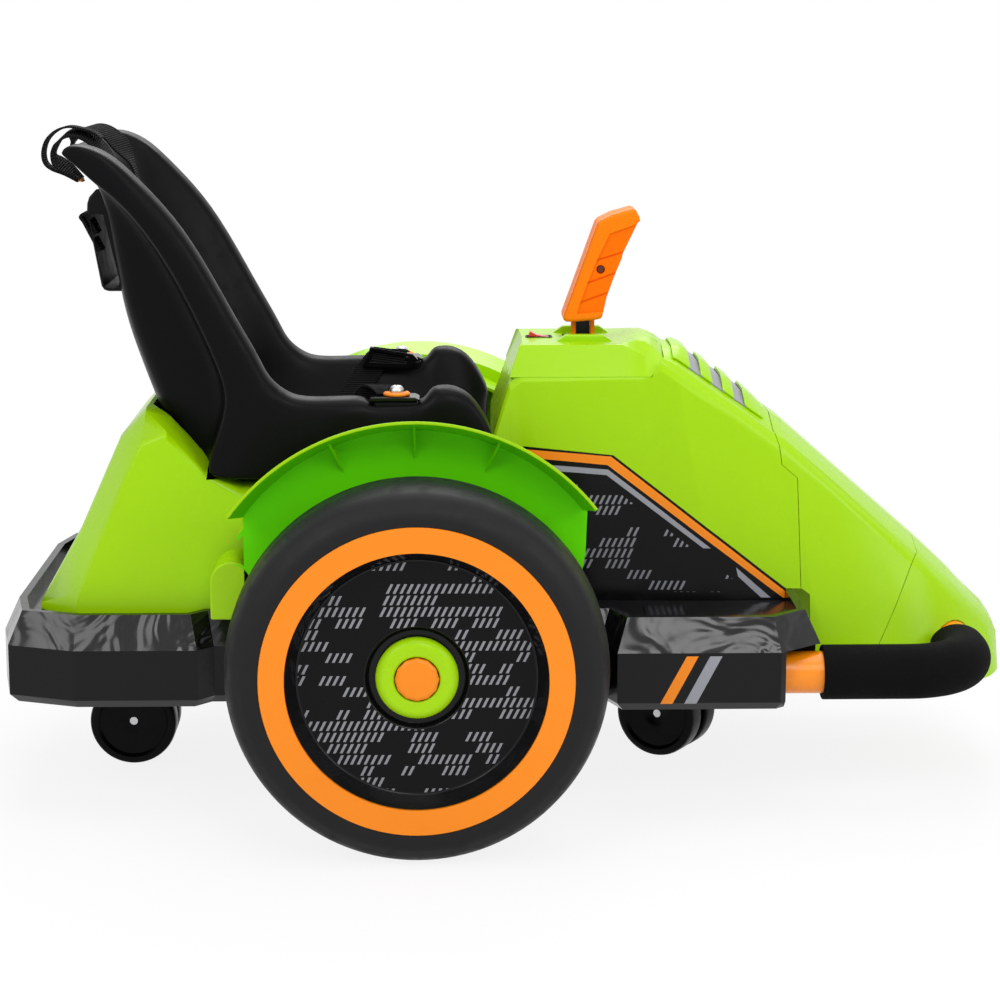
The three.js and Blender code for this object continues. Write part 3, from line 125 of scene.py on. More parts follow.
# Chassis tray: one deep black moulding with a sloped, glossy band over a straight skirt. The
# two slanting stripes on each side of its nose are printed films.
def pick(piece):
    bpy.ops.object.select_all(action="DESELECT")
    piece.select_set(True)
    bpy.context.view_layer.objects.active = piece


def edit(piece):
    """Opens a piece for editing with all of it selected."""
    pick(piece)
    bpy.ops.object.mode_set(mode="EDIT")
    bpy.ops.mesh.select_all(action="SELECT")


def copy_of(node, name):
    """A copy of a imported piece, its triangles welded and its flat faces made whole."""
    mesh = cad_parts[node].data.copy()
    mesh.name = name
    mesh.materials.clear()
    piece = bpy.data.objects.new(name, mesh)
    scene.collection.objects.link(piece)
    pick(piece)
    if mesh.has_custom_normals:
        bpy.ops.mesh.customdata_custom_splitnormals_clear()
    edit(piece)
    bpy.ops.mesh.remove_doubles(threshold=0.00002)
    bpy.ops.mesh.dissolve_limited(angle_limit=math.radians(0.6))
    bpy.ops.object.mode_set(mode="OBJECT")
    return piece


def select_edges(piece, over, where=None):
    """Opens a piece and selects the edges whose two faces turn from each other by more than an angle."""
    pick(piece)
    bpy.ops.object.mode_set(mode="EDIT")
    bpy.ops.mesh.select_mode(type="EDGE")
    bpy.ops.mesh.select_all(action="DESELECT")
    shape = bmesh.from_edit_mesh(piece.data)
    shape.normal_update()
    for edge in shape.edges:
        if len(edge.link_faces) == 2 and edge.calc_face_angle() > math.radians(over):
            if where is None or where(edge):
                edge.select_set(True)
    bmesh.update_edit_mesh(piece.data)


def round_edges(piece, radius, steps=3, over=25, where=None):
    select_edges(piece, over, where)
    bpy.ops.mesh.bevel(offset=radius, segments=steps, profile=0.5, clamp_overlap=True)
    bpy.ops.object.mode_set(mode="OBJECT")


def long_outward(least):
    """Picks the outward edges longer than a length, which leaves the small details sharp."""
    return lambda edge: edge.is_convex and edge.calc_length() > least


def broad(least):
    """Picks the outward edges between two faces that are both large, such as a cover's creases."""
    return lambda edge: edge.is_convex and min(face.calc_area() for face in edge.link_faces) > least


def finish(piece, body, slot, material, *stands_for, sharp=35, flatness=100):
    """Shades the piece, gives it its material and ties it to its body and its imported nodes."""
    pick(piece)
    bpy.ops.object.shade_smooth_by_angle(angle=math.radians(sharp))
    flat = piece.modifiers.new("flat_faces", "WEIGHTED_NORMAL")
    flat.keep_sharp = True
    flat.weight = flatness
    bpy.ops.object.modifier_apply(modifier=flat.name)
    piece.data.materials.clear()
    piece.data.materials.append(material)
    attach(piece, body)
    if stands_for:
        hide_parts(*stands_for)


def dress(node, material):
    """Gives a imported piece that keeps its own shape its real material."""
    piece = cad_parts[node]
    if not piece.material_slots:
        piece.data.materials.append(material)
    for place in piece.material_slots:
        place.material = material


def plastic(name, colour, roughness, mottle=0.05, grain=0.3, gloss=0.5, scuffs=0.12):
    """Moulded plastic: a faintly uneven colour, a fine grain, and handling that has dulled it in places."""
    material = bpy.data.materials.new(name)
    material.use_nodes = True
    tree = material.node_tree
    place = add_node(tree, "TexCoord", {}).outputs["Object"]
    cloud = add_node(tree, "TexNoise", {"Vector": place, "Scale": 9, "Detail": 3})
    darker, lighter = [(*[part * share for part in colour], 1) for share in (1 - mottle, 1 + mottle)]
    tint = add_node(tree, "Mix", {0: cloud.outputs["Fac"], 6: darker, 7: lighter})
    marks = add_node(tree, "TexNoise", {"Vector": place, "Scale": 70, "Detail": 8, "Distortion": 0.6})
    dulled = add_node(tree, "MapRange", {"Value": marks.outputs["Fac"], "From Min": 0.48, "From Max": 0.72,
                                         "To Min": roughness, "To Max": roughness + scuffs})
    pits = add_node(tree, "TexNoise", {"Vector": place, "Scale": 1400, "Detail": 2})
    bump = add_node(tree, "Bump", {"Height": pits.outputs["Fac"], "Strength": grain, "Distance": 0.0002})
    feed(tree, tree.nodes["Principled BSDF"], {
        "Base Color": tint.outputs[2], "Roughness": dulled.outputs["Result"], "Normal": bump.outputs["Normal"],
        "Specular IOR Level": gloss})
    return material


black_gloss = plastic("black_gloss_plastic", (0.004, 0.004, 0.0048), 0.14, grain=0.1, gloss=0.2)
band_gloss = plastic("tray_band_plastic", (0.004, 0.004, 0.005), 0.16, grain=0.06, gloss=0.4, scuffs=0.06)
tree = band_gloss.node_tree
waves = add_node(tree, "TexNoise", {"Vector": tree.nodes["Texture Coordinate"].outputs["Object"], "Scale": 17,
                                    "Detail": 2, "Distortion": 1.2})
ripple = add_node(tree, "Bump", {"Height": waves.outputs["Fac"], "Strength": 0.9, "Distance": 0.006})
feed(tree, tree.nodes["Bump"], {"Normal": ripple.outputs["Normal"]})
chassis = copy_of("chassis", "chassis_tray")
round_edges(chassis, 0.004, 4, 20, broad(0.0006))
round_edges(chassis, 0.0009, 2, 40, long_outward(0.012))
finish(chassis, "kart", "black_gloss", black_gloss, "chassis")
chassis.data.materials.append(band_gloss)
band_low, band_high = 0.155, 0.20
for face in chassis.data.polygons:
    if 0.2 < face.normal.z < 0.9 and band_low < face.center.z < band_high:
        face.material_index = 1

orange = plastic("orange_plastic", (0.88, 0.24, 0.004), 0.3, grain=0.15, gloss=0.3)
orange_deep = plastic("orange_grip_panel_darker", (0.96, 0.165, 0.0005), 0.42, grain=0.08, gloss=0.06)
orange_grip = plastic("orange_grip_plastic", (0.96, 0.21, 0.001), 0.36, grain=0.08, gloss=0.1)
grey = plastic("grey_plastic", (0.27, 0.275, 0.31), 0.35, grain=0.15)


def cut_to(piece, outline):
    """Keeps what of the piece lies inside a convex outline of x and z."""
    middle = [sum(point[axis] for point in outline) / len(outline) for axis in (0, 1)]
    pick(piece)
    bpy.ops.object.mode_set(mode="EDIT")
    for (x, z), (next_x, next_z) in zip(outline, outline[1:] + outline[:1]):
        across, up = next_z - z, x - next_x
        outwards = math.hypot(across, up)
        if across * (middle[0] - x) + up * (middle[1] - z) > 0:
            outwards = -outwards
        bpy.ops.mesh.select_all(action="SELECT")
        bpy.ops.mesh.bisect(plane_co=(x, 0, z), plane_no=(across / outwards, 0, up / outwards), clear_outer=True,
                            threshold=0.000001)
    bpy.ops.object.mode_set(mode="OBJECT")


def joined(name, pieces):
    """One piece of several, under a name of its own."""
    bpy.ops.object.select_all(action="DESELECT")
    for piece in pieces:
        piece.select_set(True)
    bpy.context.view_layer.objects.active = pieces[0]
    if len(pieces) > 1:
        bpy.ops.object.join()
    pieces[0].name = name
    return pieces[0]


def walled(piece, thickness, offset=-1):
    """Gives a sheet a wall, inwards from its face, or half to each side with an offset of 0."""
    pick(piece)
    wall = piece.modifiers.new("wall", "SOLIDIFY")
    wall.thickness = thickness
    wall.offset = offset
    bpy.ops.object.modifier_apply(modifier=wall.name)


def printed_film(name, outlines, cover, side, lift, material, slot):
    """A thin film on a cover's side, cut to convex outlines of x and z from the cover's own outer skin."""
    parts = []
    for outline in outlines:
        mesh = cover.data.copy()
        mesh.name = name
        film = bpy.data.objects.new(name, mesh)
        scene.collection.objects.link(film)
        pick(film)
        bpy.ops.object.mode_set(mode="EDIT")
        bpy.ops.mesh.select_mode(type="FACE")
        bpy.ops.mesh.select_all(action="DESELECT")
        shape = bmesh.from_edit_mesh(film.data)
        for face in shape.faces:
            face.select_set(side * face.normal.y < 0.5 or side * face.calc_center_median().y < 0.05)
        bmesh.update_edit_mesh(film.data)
        bpy.ops.mesh.delete(type="FACE")
        bpy.ops.object.mode_set(mode="OBJECT")
        cut_to(film, outline)
        parts.append(film)
    film = joined(name, parts)
    edit(film)
    bpy.ops.mesh.remove_doubles(threshold=0.00001)
    bpy.ops.transform.translate(value=(0, side * lift, 0))
    bpy.ops.object.mode_set(mode="OBJECT")
    walled(film, 0.00012)
    finish(film, "kart", slot, material)


stripe_top, stripe_foot = 0.1572, 0.1132
for side, hand in ((-1, "right"), (1, "left")):
    for colour, material, (a, b, c, d) in (("orange", orange, (0.1501, 0.1606, 0.1375, 0.1265)),
                                           ("grey", grey, (0.1710, 0.1820, 0.1590, 0.1480))):
        outline = [(a, stripe_top), (b, stripe_top), (c, stripe_foot), (d, stripe_foot)]
        printed_film(f"skirt_stripe_{colour}_{hand}", [outline], chassis, side, 0.0003, material, colour)


# Bumper: one steel tube bent to a U and powder-coated orange, pushed into sockets in the tray,
# with a thick black foam sleeve slid over each bend.
def close_outwards():
    """Turns every face outwards and closes the piece that is open for editing."""
    bpy.ops.mesh.select_all(action="SELECT")
    bpy.ops.mesh.normals_make_consistent(inside=False)
    bpy.ops.object.mode_set(mode="OBJECT")


def bent_tube(name, radius, from_x, leg_y, bend_x, bend_radius, cross_y, height, sides, steps):
    """The right half of a bent tube: a leg along x, a quarter bend and a cross piece towards the middle."""
    bpy.ops.object.select_all(action="DESELECT")
    bpy.ops.mesh.primitive_circle_add(vertices=sides, radius=radius, location=(from_x, leg_y, height),
                                      rotation=(0, math.radians(90), 0))
    tube = bpy.context.object
    tube.name = name
    bpy.ops.object.transform_apply(location=True, rotation=True, scale=True)
    bpy.ops.object.mode_set(mode="EDIT")
    bpy.ops.mesh.select_mode(type="VERT")
    bpy.ops.mesh.select_all(action="SELECT")
    bpy.ops.mesh.extrude_region_move(TRANSFORM_OT_translate={"value": (bend_x - from_x, 0, 0)})
    bpy.ops.mesh.spin(steps=steps, angle=math.radians(90), center=(bend_x, leg_y + bend_radius, height),
                      axis=(0, 0, -1))
    bpy.ops.mesh.extrude_region_move(TRANSFORM_OT_translate={"value": (0, cross_y - (leg_y + bend_radius), 0)})
    bpy.ops.mesh.select_all(action="SELECT")
    bpy.ops.mesh.remove_doubles(threshold=0.00002)
    close_outwards()
    return tube


bumper_z = 0.13288
leg_y = 0.190
bend_radius = 0.062
bend_x = 0.356
powder_coat = plastic("orange_powder_coat", (0.93, 0.26, 0.003), 0.22, grain=0.5, gloss=0.45)
tube = bent_tube("bumper_bar", 0.0193, 0.2005, -leg_y, bend_x, bend_radius, 0, bumper_z, 48, 20)
mirror = tube.modifiers.new("left_half", "MIRROR")
mirror.use_axis = (False, True, False)
bpy.ops.object.modifier_apply(modifier=mirror.name)
walled(tube, 0.002)
finish(tube, "kart", "orange_tube", powder_coat, "bumper_tube")


def foam_rubber(name):
    """Closed-cell foam: near black, quite matt, with fine open pores."""
    material = plastic(name, (0.0045, 0.0045, 0.0048), 0.8, mottle=0.3, grain=0.9, gloss=0.05, scuffs=0.05)
    material.node_tree.nodes["Bump"].inputs["Distance"].default_value = 0.0006
    return material


foam = foam_rubber("bumper_foam")
for side, hand in ((-1, "right"), (1, "left")):
    sleeve = bent_tube(f"foam_sleeve_{hand}", 0.0250, 0.2765, -leg_y, bend_x, bend_radius, -0.05, bumper_z, 48, 24)
    walled(sleeve, 0.0056)
    edit(sleeve)
    bpy.ops.mesh.bisect(plane_co=(0.4120, -0.0890, 0.1040), plane_no=(0.3136, 0.8886, 0.3346), use_fill=True,
                        clear_outer=True, threshold=0.000001)
    bpy.ops.object.mode_set(mode="OBJECT")
    round_edges(sleeve, 0.0022, 3, 45)
    if side == 1:
        edit(sleeve)
        bpy.ops.transform.resize(value=(1, -1, 1), center_override=(0, 0, 0))
        close_outwards()
    finish(sleeve, "kart", "foam", foam, f"bumper_foam_{hand}")


# Front covers: four lime mouldings parted at stepped seams, the cowl, the console lid, the nose
# cowl and the nose tip. A grey insert shows through the cowl's three vents.
# A deeper green copy of the lime plastic, used as painted shade on the fenders' shaded faces.
lime_painted_shade = plastic("lime_plastic_painted_shade", (0.12, 0.72, 0.0003), 0.5, mottle=0.08, grain=0.12, gloss=0.08)
lime = plastic("lime_plastic", (0.34, 0.64, 0.001), 0.26, mottle=0.03, grain=0.03, gloss=0.2, scuffs=0.03)
crown_rows = [  # x, half width and height of the crease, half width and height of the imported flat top
    (0.1371, 0.0750, 0.4011, 0.0580, 0.4155), (0.1532, 0.0769, 0.3900, 0.0600, 0.4124),
    (0.2559, 0.0779, 0.3180, 0.0620, 0.3421), (0.3000, 0.0770, 0.2821, 0.0610, 0.3034),
    (0.3829, 0.0740, 0.2101, 0.0580, 0.2314), (0.4019, 0.0720, 0.1936, 0.0550, 0.2149),
    (0.4219, 0.0649, 0.1759, 0.0488, 0.1962), (0.4400, 0.0559, 0.1594, 0.0411, 0.1771),
    (0.4600, 0.0405, 0.1417, 0.0286, 0.1582), (0.4750, 0.0149, 0.1146, 0.0101, 0.1299)]


def cover_top(x, y):
    """The crease's height at x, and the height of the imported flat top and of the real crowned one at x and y."""
    at = max(1, min(len(crown_rows) - 1, sum(row[0] < x for row in crown_rows)))
    start, end = crown_rows[at - 1], crown_rows[at]
    share = max(0, min(1, (x - start[0]) / (end[0] - start[0])))
    crease_half, crease, flat_half, top = [a + (b - a) * share for a, b in zip(start[1:], end[1:])]
    y = min(abs(y), crease_half)
    flat_line = [(0, top), (flat_half, top), (crease_half, crease)]
    shoulder = (flat_half + 0.3 * (crease_half - flat_half), crease + 0.42 * (top - crease))
    crowned_line = [(0, top), (0.4 * flat_half, top), shoulder, (crease_half, crease)]
    heights = []
    for line in (flat_line, crowned_line):
        for (y_0, z_0), (y_1, z_1) in zip(line, line[1:]):
            if y <= y_1:
                heights.append(z_0 + (z_1 - z_0) * (y - y_0) / (y_1 - y_0))
                break
    return crease, *heights


def crowned(cover):
    """Gives a cover lengthwise edges and lifts or lowers its top, from a little under the crease, to the crown."""
    crown_start = 0.132
    under_crease = 0.009
    pick(cover)
    bpy.ops.object.mode_set(mode="EDIT")
    for across in (-0.0668, -0.043, -0.0242, 0, 0.0242, 0.043, 0.0668):
        bpy.ops.mesh.select_all(action="SELECT")
        bpy.ops.mesh.bisect(plane_co=(0, across, 0), plane_no=(0, 1, 0), threshold=0.000001)
    bpy.ops.object.mode_set(mode="OBJECT")
    for vertex in cover.data.vertices:
        crease, flat_z, crowned_z = cover_top(vertex.co.x, vertex.co.y)
        if vertex.co.x > crown_start and vertex.co.z > crease - under_crease:
            vertex.co.z += crowned_z - flat_z


def laid_grid(name, rows):
    """A sheet of faces whose corners lie at the given rows of points."""
    bpy.ops.object.select_all(action="DESELECT")
    bpy.ops.mesh.primitive_grid_add(x_subdivisions=len(rows[0]) - 1, y_subdivisions=len(rows) - 1, size=0.1)
    sheet = bpy.context.object
    sheet.name = name
    for vertex, place in zip(sheet.data.vertices, [point for row in rows for point in row], strict=True):
        vertex.co = place
    return sheet


def carved(piece, cutters):
    """Takes the cutters out of the piece."""
    for cutter in cutters:
        pick(piece)
        cut = piece.modifiers.new("cut", "BOOLEAN")
        cut.operation = "DIFFERENCE"
        cut.solver = "EXACT"
        cut.object = cutter
        bpy.ops.object.modifier_apply(modifier=cut.name)
        bpy.data.objects.remove(cutter)


def drawn(name, points):
    """A closed line of edges through the points, left open for editing with all of it selected."""
    bpy.ops.object.select_all(action="DESELECT")
    bpy.ops.mesh.primitive_plane_add(size=0.001, location=points[0])
    body = bpy.context.object
    body.name = name
    bpy.ops.object.transform_apply(location=True, rotation=True, scale=True)
    bpy.ops.object.mode_set(mode="EDIT")
    bpy.ops.mesh.select_mode(type="VERT")
    bpy.ops.mesh.select_all(action="SELECT")
    bpy.ops.mesh.merge(type="CENTER")
    for start, end in zip(points, points[1:] + points[:1]):
        step = [there - here for here, there in zip(start, end)]
        bpy.ops.mesh.extrude_region_move(TRANSFORM_OT_translate={"value": step})
    bpy.ops.mesh.select_all(action="SELECT")
    bpy.ops.mesh.remove_doubles(threshold=0.00001)
    return body


def oblong(x, far_x, z, far_z):
    return [(x, z), (far_x, z), (far_x, far_z), (x, far_z)]


def plate(name, outline, inner, outer, side):
    """A flat plate of an outline of x and z, between two distances from the middle."""
    body = drawn(name, [(x, side * inner, z) for x, z in outline])
    bpy.ops.mesh.edge_face_add()
    bpy.ops.mesh.extrude_region_move(TRANSFORM_OT_translate={"value": (0, side * (outer - inner), 0)})
    close_outwards()
    return body


vent_slots = (0.1667, 0.1877, 0.2087)
slot_long = 0.0096
for node, name in (("front_cowl", "cowl_moulding"), ("nose_cowl", "nose_moulding"),
                   ("nose_tip", "nose_tip_moulding")):
    cover = copy_of(node, name)
    if node == "front_cowl":
        for x in vent_slots:
            far_x, z = x + slot_long, cover_top(x, 0)[1]
            opening = [(x, z - 0.008), (far_x, z - 0.016), (far_x, z), (x, z + 0.006)]
            carved(cover, [plate("slot", opening, -0.053, 0.053, 1)])
    crowned(cover)
    round_edges(cover, 0.0021, 3, 22, long_outward(0.004))
    finish(cover, "kart", "lime", lime, node)
cowl = bpy.data.objects["cowl_moulding"]


# The console lid: steep sides up to a narrow rounded edge, a flat top with a well for the lever
# between two raised collars, and a smooth hump with a finger slot at its front.
lid_stations = [  # x of the foot, x above, half width and height of the edge and of the shoulder, the middle's height
    (-0.0049, 0.0070, 0.0610, 0.4163, 0.0575, 0.4170, 0.4162),
    (0.0400, 0.0400, 0.0612, 0.4165, 0.0575, 0.4171, 0.4163),
    (0.0950, 0.0950, 0.0612, 0.4165, 0.0575, 0.4171, 0.4163),
    (0.1015, 0.1020, 0.0614, 0.4162, 0.0560, 0.4174, 0.4172),
    (0.1080, 0.1090, 0.0622, 0.4128, 0.0510, 0.4183, 0.4195),
    (0.1140, 0.1160, 0.0632, 0.4091, 0.0475, 0.4190, 0.4216),
    (0.1190, 0.1225, 0.0641, 0.4057, 0.0470, 0.4176, 0.4227),
    (0.1230, 0.1285, 0.0652, 0.4022, 0.0490, 0.4144, 0.4216),
    (0.1255, 0.1350, 0.0700, 0.3985, 0.0560, 0.4092, 0.4182),
    (0.1272, 0.1395, 0.0726, 0.3970, 0.0620, 0.4030, 0.4140)]
lid_foot = 0.388
rows = [[(-0.0049, share * 0.0735, lid_foot) for share in (-1, -0.9, -0.8, -0.5, 0, 0.5, 0.8, 0.9, 1)]]
for foot_x, x, edge_half, edge_z, shoulder_half, shoulder_z, middle_z in lid_stations:
    edge_x = min(x, foot_x + (x - foot_x) * 0.8)
    half = [(foot_x, -0.0752, lid_foot), (edge_x, -edge_half, edge_z), (x, -shoulder_half, shoulder_z),
            (x + 0.001, -0.030, (shoulder_z + 2 * middle_z) / 3), (x + 0.0015, 0, middle_z)]
    rows.append(half + [(px, -py, pz) for px, py, pz in reversed(half[:-1])])
lid = laid_grid("console_lid", rows)
edit(lid)
bpy.ops.mesh.remove_doubles(threshold=0.00001)
close_outwards()
if sum(face.normal.z * face.area for face in lid.data.polygons) < 0:
    lid.data.flip_normals()
walled(lid, 0.003)
carved(lid, [
    plate("lever_well", oblong(0.048, 0.086, 0.400, 0.43), -0.024, 0.024, 1),
    plate("switch_hole", oblong(0.0135, 0.0365, 0.400, 0.43), -0.0058, 0.0058, 1),
    plate("finger_slot", [(0.1285, 0.4200), (0.1300, 0.4255), (0.1415, 0.4150), (0.1400, 0.4120)], 0.026, 0.034, -1)])
collar_line = [(0.0385, 0.4155), (0.0950, 0.4155), (0.0840, 0.4232), (0.0500, 0.4232)]
collars = [plate("collar", collar_line, 0.030, 0.0395, side) for side in (-1, 1)]
for collar in collars:
    round_edges(collar, 0.002, 3, 45, lambda edge: edge.verts[0].co.z + edge.verts[1].co.z > 0.84)
lid = joined("console_lid", [lid, *collars])
round_edges(lid, 0.0016, 3, 24, long_outward(0.004))
finish(lid, "kart", "lime", lime, "console", sharp=22)

# Vents: a grey insert shows through three slots across the crowned top, with a raised lime louvre
# ahead of each. The louvres are moulded with the cowl, and the insert is clipped in from below.
vent_half = 0.0535
louvre_rise = 0.0034
across = [share * vent_half for share in (1, 0.93, 0.8, 0.6, 0.46, 0.2, 0, -0.2, -0.46, -0.6, -0.8, -0.93, -1)]
inserts = []
for x in vent_slots:
    stops = (x - 0.002, x + 0.5 * slot_long, x + slot_long + 0.002)
    insert = laid_grid("vent_panel", [[(stop, y, cover_top(stop, y)[2] - 0.0014) for y in across] for stop in stops])
    walled(insert, 0.0012)
    inserts.append(insert)
first_bar = ((0, 0), (0.3, 0.5), (0.6, 0.9), (0.85, 1), (0.96, 0.75), (1, 0))
bar = ((0, 0), (0.04, 0.8), (0.15, 1), (0.5, 1), (0.82, 0.95), (0.96, 0.7), (1, 0))
last_bar = ((0, 0), (0.02, 0.8), (0.08, 1), (0.3, 0.85), (0.6, 0.4), (0.85, 0.1), (1, 0))
nears = (0.1500, *[x + slot_long for x in vent_slots])
louvres = []
for near, far, line in zip(nears, (*vent_slots, 0.2360), (first_bar, bar, bar, last_bar)):
    rows = []
    for along, rise in line:
        x = near + along * (far - near)
        rows.append([(x, y, cover_top(x, y)[2] - 0.0006 + louvre_rise * rise * (1 - (y / 0.0536) ** 6))
                     for y in across])
    louvre = laid_grid("louvre", rows)
    walled(louvre, 0.0015)
    louvres.append(louvre)
for name, parts, material, slot, stands_for in (("vent_insert_panels", inserts, grey, "grey", ["vent_insert"]),
                                                ("vent_louvres", louvres, lime, "lime", [])):
    piece = joined(name, parts)
    edit(piece)
    close_outwards()
    finish(piece, "kart", slot, material, *stands_for, sharp=50)


# The side print: a thin film stuck on each side of the cowl, black with orange and grey border
# lines and clusters of slanted dashes.
def dashed_print(name, paper, ink, covered):
    """A glossy print of short slanted dashes in rows, with whole clusters of them left out."""
    pitch, row = 0.0058, 0.0100
    wide, tall, lean = 0.42, 0.82, 0.5
    material = plastic(name, paper, 0.14, grain=0.05, gloss=0.12)
    tree = material.node_tree

    def number(operation, first, second=0.5):
        return add_node(tree, "Math", {0: first, 1: second}, operation).outputs[0]

    place = add_node(tree, "SeparateXYZ", {0: tree.nodes["Texture Coordinate"].outputs["Object"]}).outputs
    row_start = number("SNAP", place["Z"], row)
    along = number("SUBTRACT", place["X"], number("MULTIPLY", place["Z"], lean))
    stepped = number("ADD", along, number("MULTIPLY", row_start, 1.37))
    dash = number("LESS_THAN", number("FRACT", number("DIVIDE", stepped, pitch)), wide)
    body = number("LESS_THAN", number("FRACT", number("DIVIDE", place["Z"], row)), tall)
    cell = add_node(tree, "CombineXYZ", {"X": number("SNAP", stepped, 2 * pitch),
                                         "Z": number("MULTIPLY", row_start, 1.6)})
    drift = add_node(tree, "TexNoise", {"Vector": cell.outputs[0], "Scale": 24, "Detail": 1})
    kept = number("GREATER_THAN", drift.outputs["Fac"], covered)
    inked = number("MULTIPLY", number("MULTIPLY", dash, body), kept)
    both = add_node(tree, "Mix", {0: inked, 6: tree.nodes["Mix"].outputs[2], 7: (*ink, 1)})
    feed(tree, tree.nodes["Principled BSDF"], {"Base Color": both.outputs[2]})
    return material


print_black = dashed_print("side_print_film", (0.004, 0.004, 0.0045), (0.23, 0.235, 0.26), 0.53)
print_plain = plastic("print_black_film", (0.004, 0.004, 0.0045), 0.14, grain=0.05, gloss=0.12)
side_prints = [  # name, outlines, lift off the cover, material and slot
    ("border", [[(0.0077, 0.3240), (0.0919, 0.3155), (0.2640, 0.1833), (0.2640, 0.1740), (0.0077, 0.1740)]],
     0.0003, print_plain, "black_gloss"),
    ("dashes", [[(0.0152, 0.2950), (0.0840, 0.2905), (0.2200, 0.1880), (0.0152, 0.1880)]],
     0.0004, print_black, "black_gloss"),
    ("orange", [[(0.0100, 0.3212), (0.0899, 0.3143), (0.0865, 0.3064), (0.0100, 0.3136)],
                [(0.0899, 0.3143), (0.2605, 0.1829), (0.2520, 0.1818), (0.0865, 0.3064)]], 0.0005, orange, "orange"),
    ("grey", [[(0.0100, 0.3083), (0.0871, 0.3022), (0.0856, 0.2971), (0.0100, 0.3030)],
              [(0.0871, 0.3022), (0.1835, 0.2287), (0.1764, 0.2288), (0.0856, 0.2971)]], 0.0005, grey, "grey"),
    ("tail", [[(0.2075, 0.2104), (0.2400, 0.1825), (0.2310, 0.1825), (0.2094, 0.2020)]], 0.0005, grey, "grey")]
for side, hand in ((-1, "right"), (1, "left")):
    for name, outlines, lift, material, slot in side_prints:
        printed_film(f"side_print_{name}_{hand}", outlines, cowl, side, lift, material, slot)

# Console fittings: a red rocker switch in a black bezel, and the joystick with its gimbal in a
# well under the lid, a flat steel lever and a two-piece orange grip.
black = plastic("black_plastic", (0.004, 0.004, 0.0045), 0.42, grain=0.5, gloss=0.12)
red = plastic("red_plastic", (0.62, 0.02, 0.012), 0.16, grain=0.05)
bezel = plate("switch_bezel", [(0.0105, 0.4152), (0.0395, 0.4152), (0.0368, 0.4173), (0.0132, 0.4173)],
              -0.0072, 0.0072, 1)
carved(bezel, [plate("opening", oblong(0.0137, 0.0363, 0.41, 0.42), -0.0053, 0.0053, 1)])
round_edges(bezel, 0.0005, 2, 40)
finish(bezel, "kart", "black", black, "rocker_bezel")
rocker_line = [(0.0150, 0.4110), (0.0352, 0.4110), (0.0352, 0.4168), (0.0290, 0.4176), (0.0230, 0.4188),
               (0.0190, 0.4206), (0.0165, 0.4224), (0.0150, 0.4180)]
rocker = plate("switch_rocker", rocker_line, -0.0046, 0.0046, 1)
round_edges(rocker, 0.0006, 3, 20)
finish(rocker, "power_rocker", "red", red, "rocker_switch")


def steel_finish(name, colour, roughness):
    """Zinc-plated steel: metal with fine drawn lines and a cloudy plating."""
    material = plastic(name, colour, roughness, mottle=0.12, grain=0.2)
    material.node_tree.nodes["Principled BSDF"].inputs["Metallic"].default_value = 1
    return material


steel = steel_finish("plated_steel", (0.56, 0.56, 0.58), 0.32)
black_steel = plastic("black_coated_steel", (0.008, 0.008, 0.009), 0.35, grain=0.4, gloss=0.25)
dress("joystick_housing", black)
for node in ("gimbal_yoke", "joystick_pin"):
    dress(node, steel)
lever = copy_of("joystick_shaft", "stick_lever")
round_edges(lever, 0.0006, 2, 40)
finish(lever, "stick", "steel", black_steel, "joystick_shaft")
grip_line = [(0.0474, 0.4382), (0.0478, 0.4352), (0.0500, 0.4336), (0.0559, 0.4331), (0.0763, 0.4348),
             (0.0831, 0.4364), (0.0846, 0.4384), (0.0887, 0.4569), (0.0896, 0.4594), (0.0950, 0.4746),
             (0.0963, 0.4780), (0.1029, 0.4941), (0.1037, 0.4983), (0.1174, 0.5270), (0.1199, 0.5290),
             (0.1190, 0.5330), (0.1156, 0.5392), (0.1126, 0.5404), (0.0933, 0.5350), (0.0815, 0.5291),
             (0.0790, 0.5262)]
grip_panel = [(0.0909, 0.5173), (0.1260, 0.5298), (0.1260, 0.5000), (0.0950, 0.4444), (0.0601, 0.4412),
              (0.0635, 0.4523), (0.0701, 0.4705), (0.0784, 0.4908)]
lever_room = [(0.0595, 0.425), (0.0745, 0.425), (0.0752, 0.437), (0.1065, 0.5105), (0.0920, 0.5182), (0.0590, 0.437)]
grooves = [(0.0790, 0.4920, 0.1080, 0.5010), (0.0700, 0.4704, 0.1000, 0.4811), (0.0637, 0.4519, 0.0940, 0.4629)]
groove_half = 0.0009
grip_face = 0.025
past_face = grip_face + 0.004
panel_foot = 0.441
screw = (0.0827, 0.4833)


def disc(name, centre, radius, inner, outer, side, sides=32):
    """A round plate about a point of x and z."""
    angles = [math.tau * i / sides for i in range(sides)]
    ring = [(centre[0] + radius * math.cos(angle), centre[1] + radius * math.sin(angle)) for angle in angles]
    return plate(name, ring, inner, outer, side)


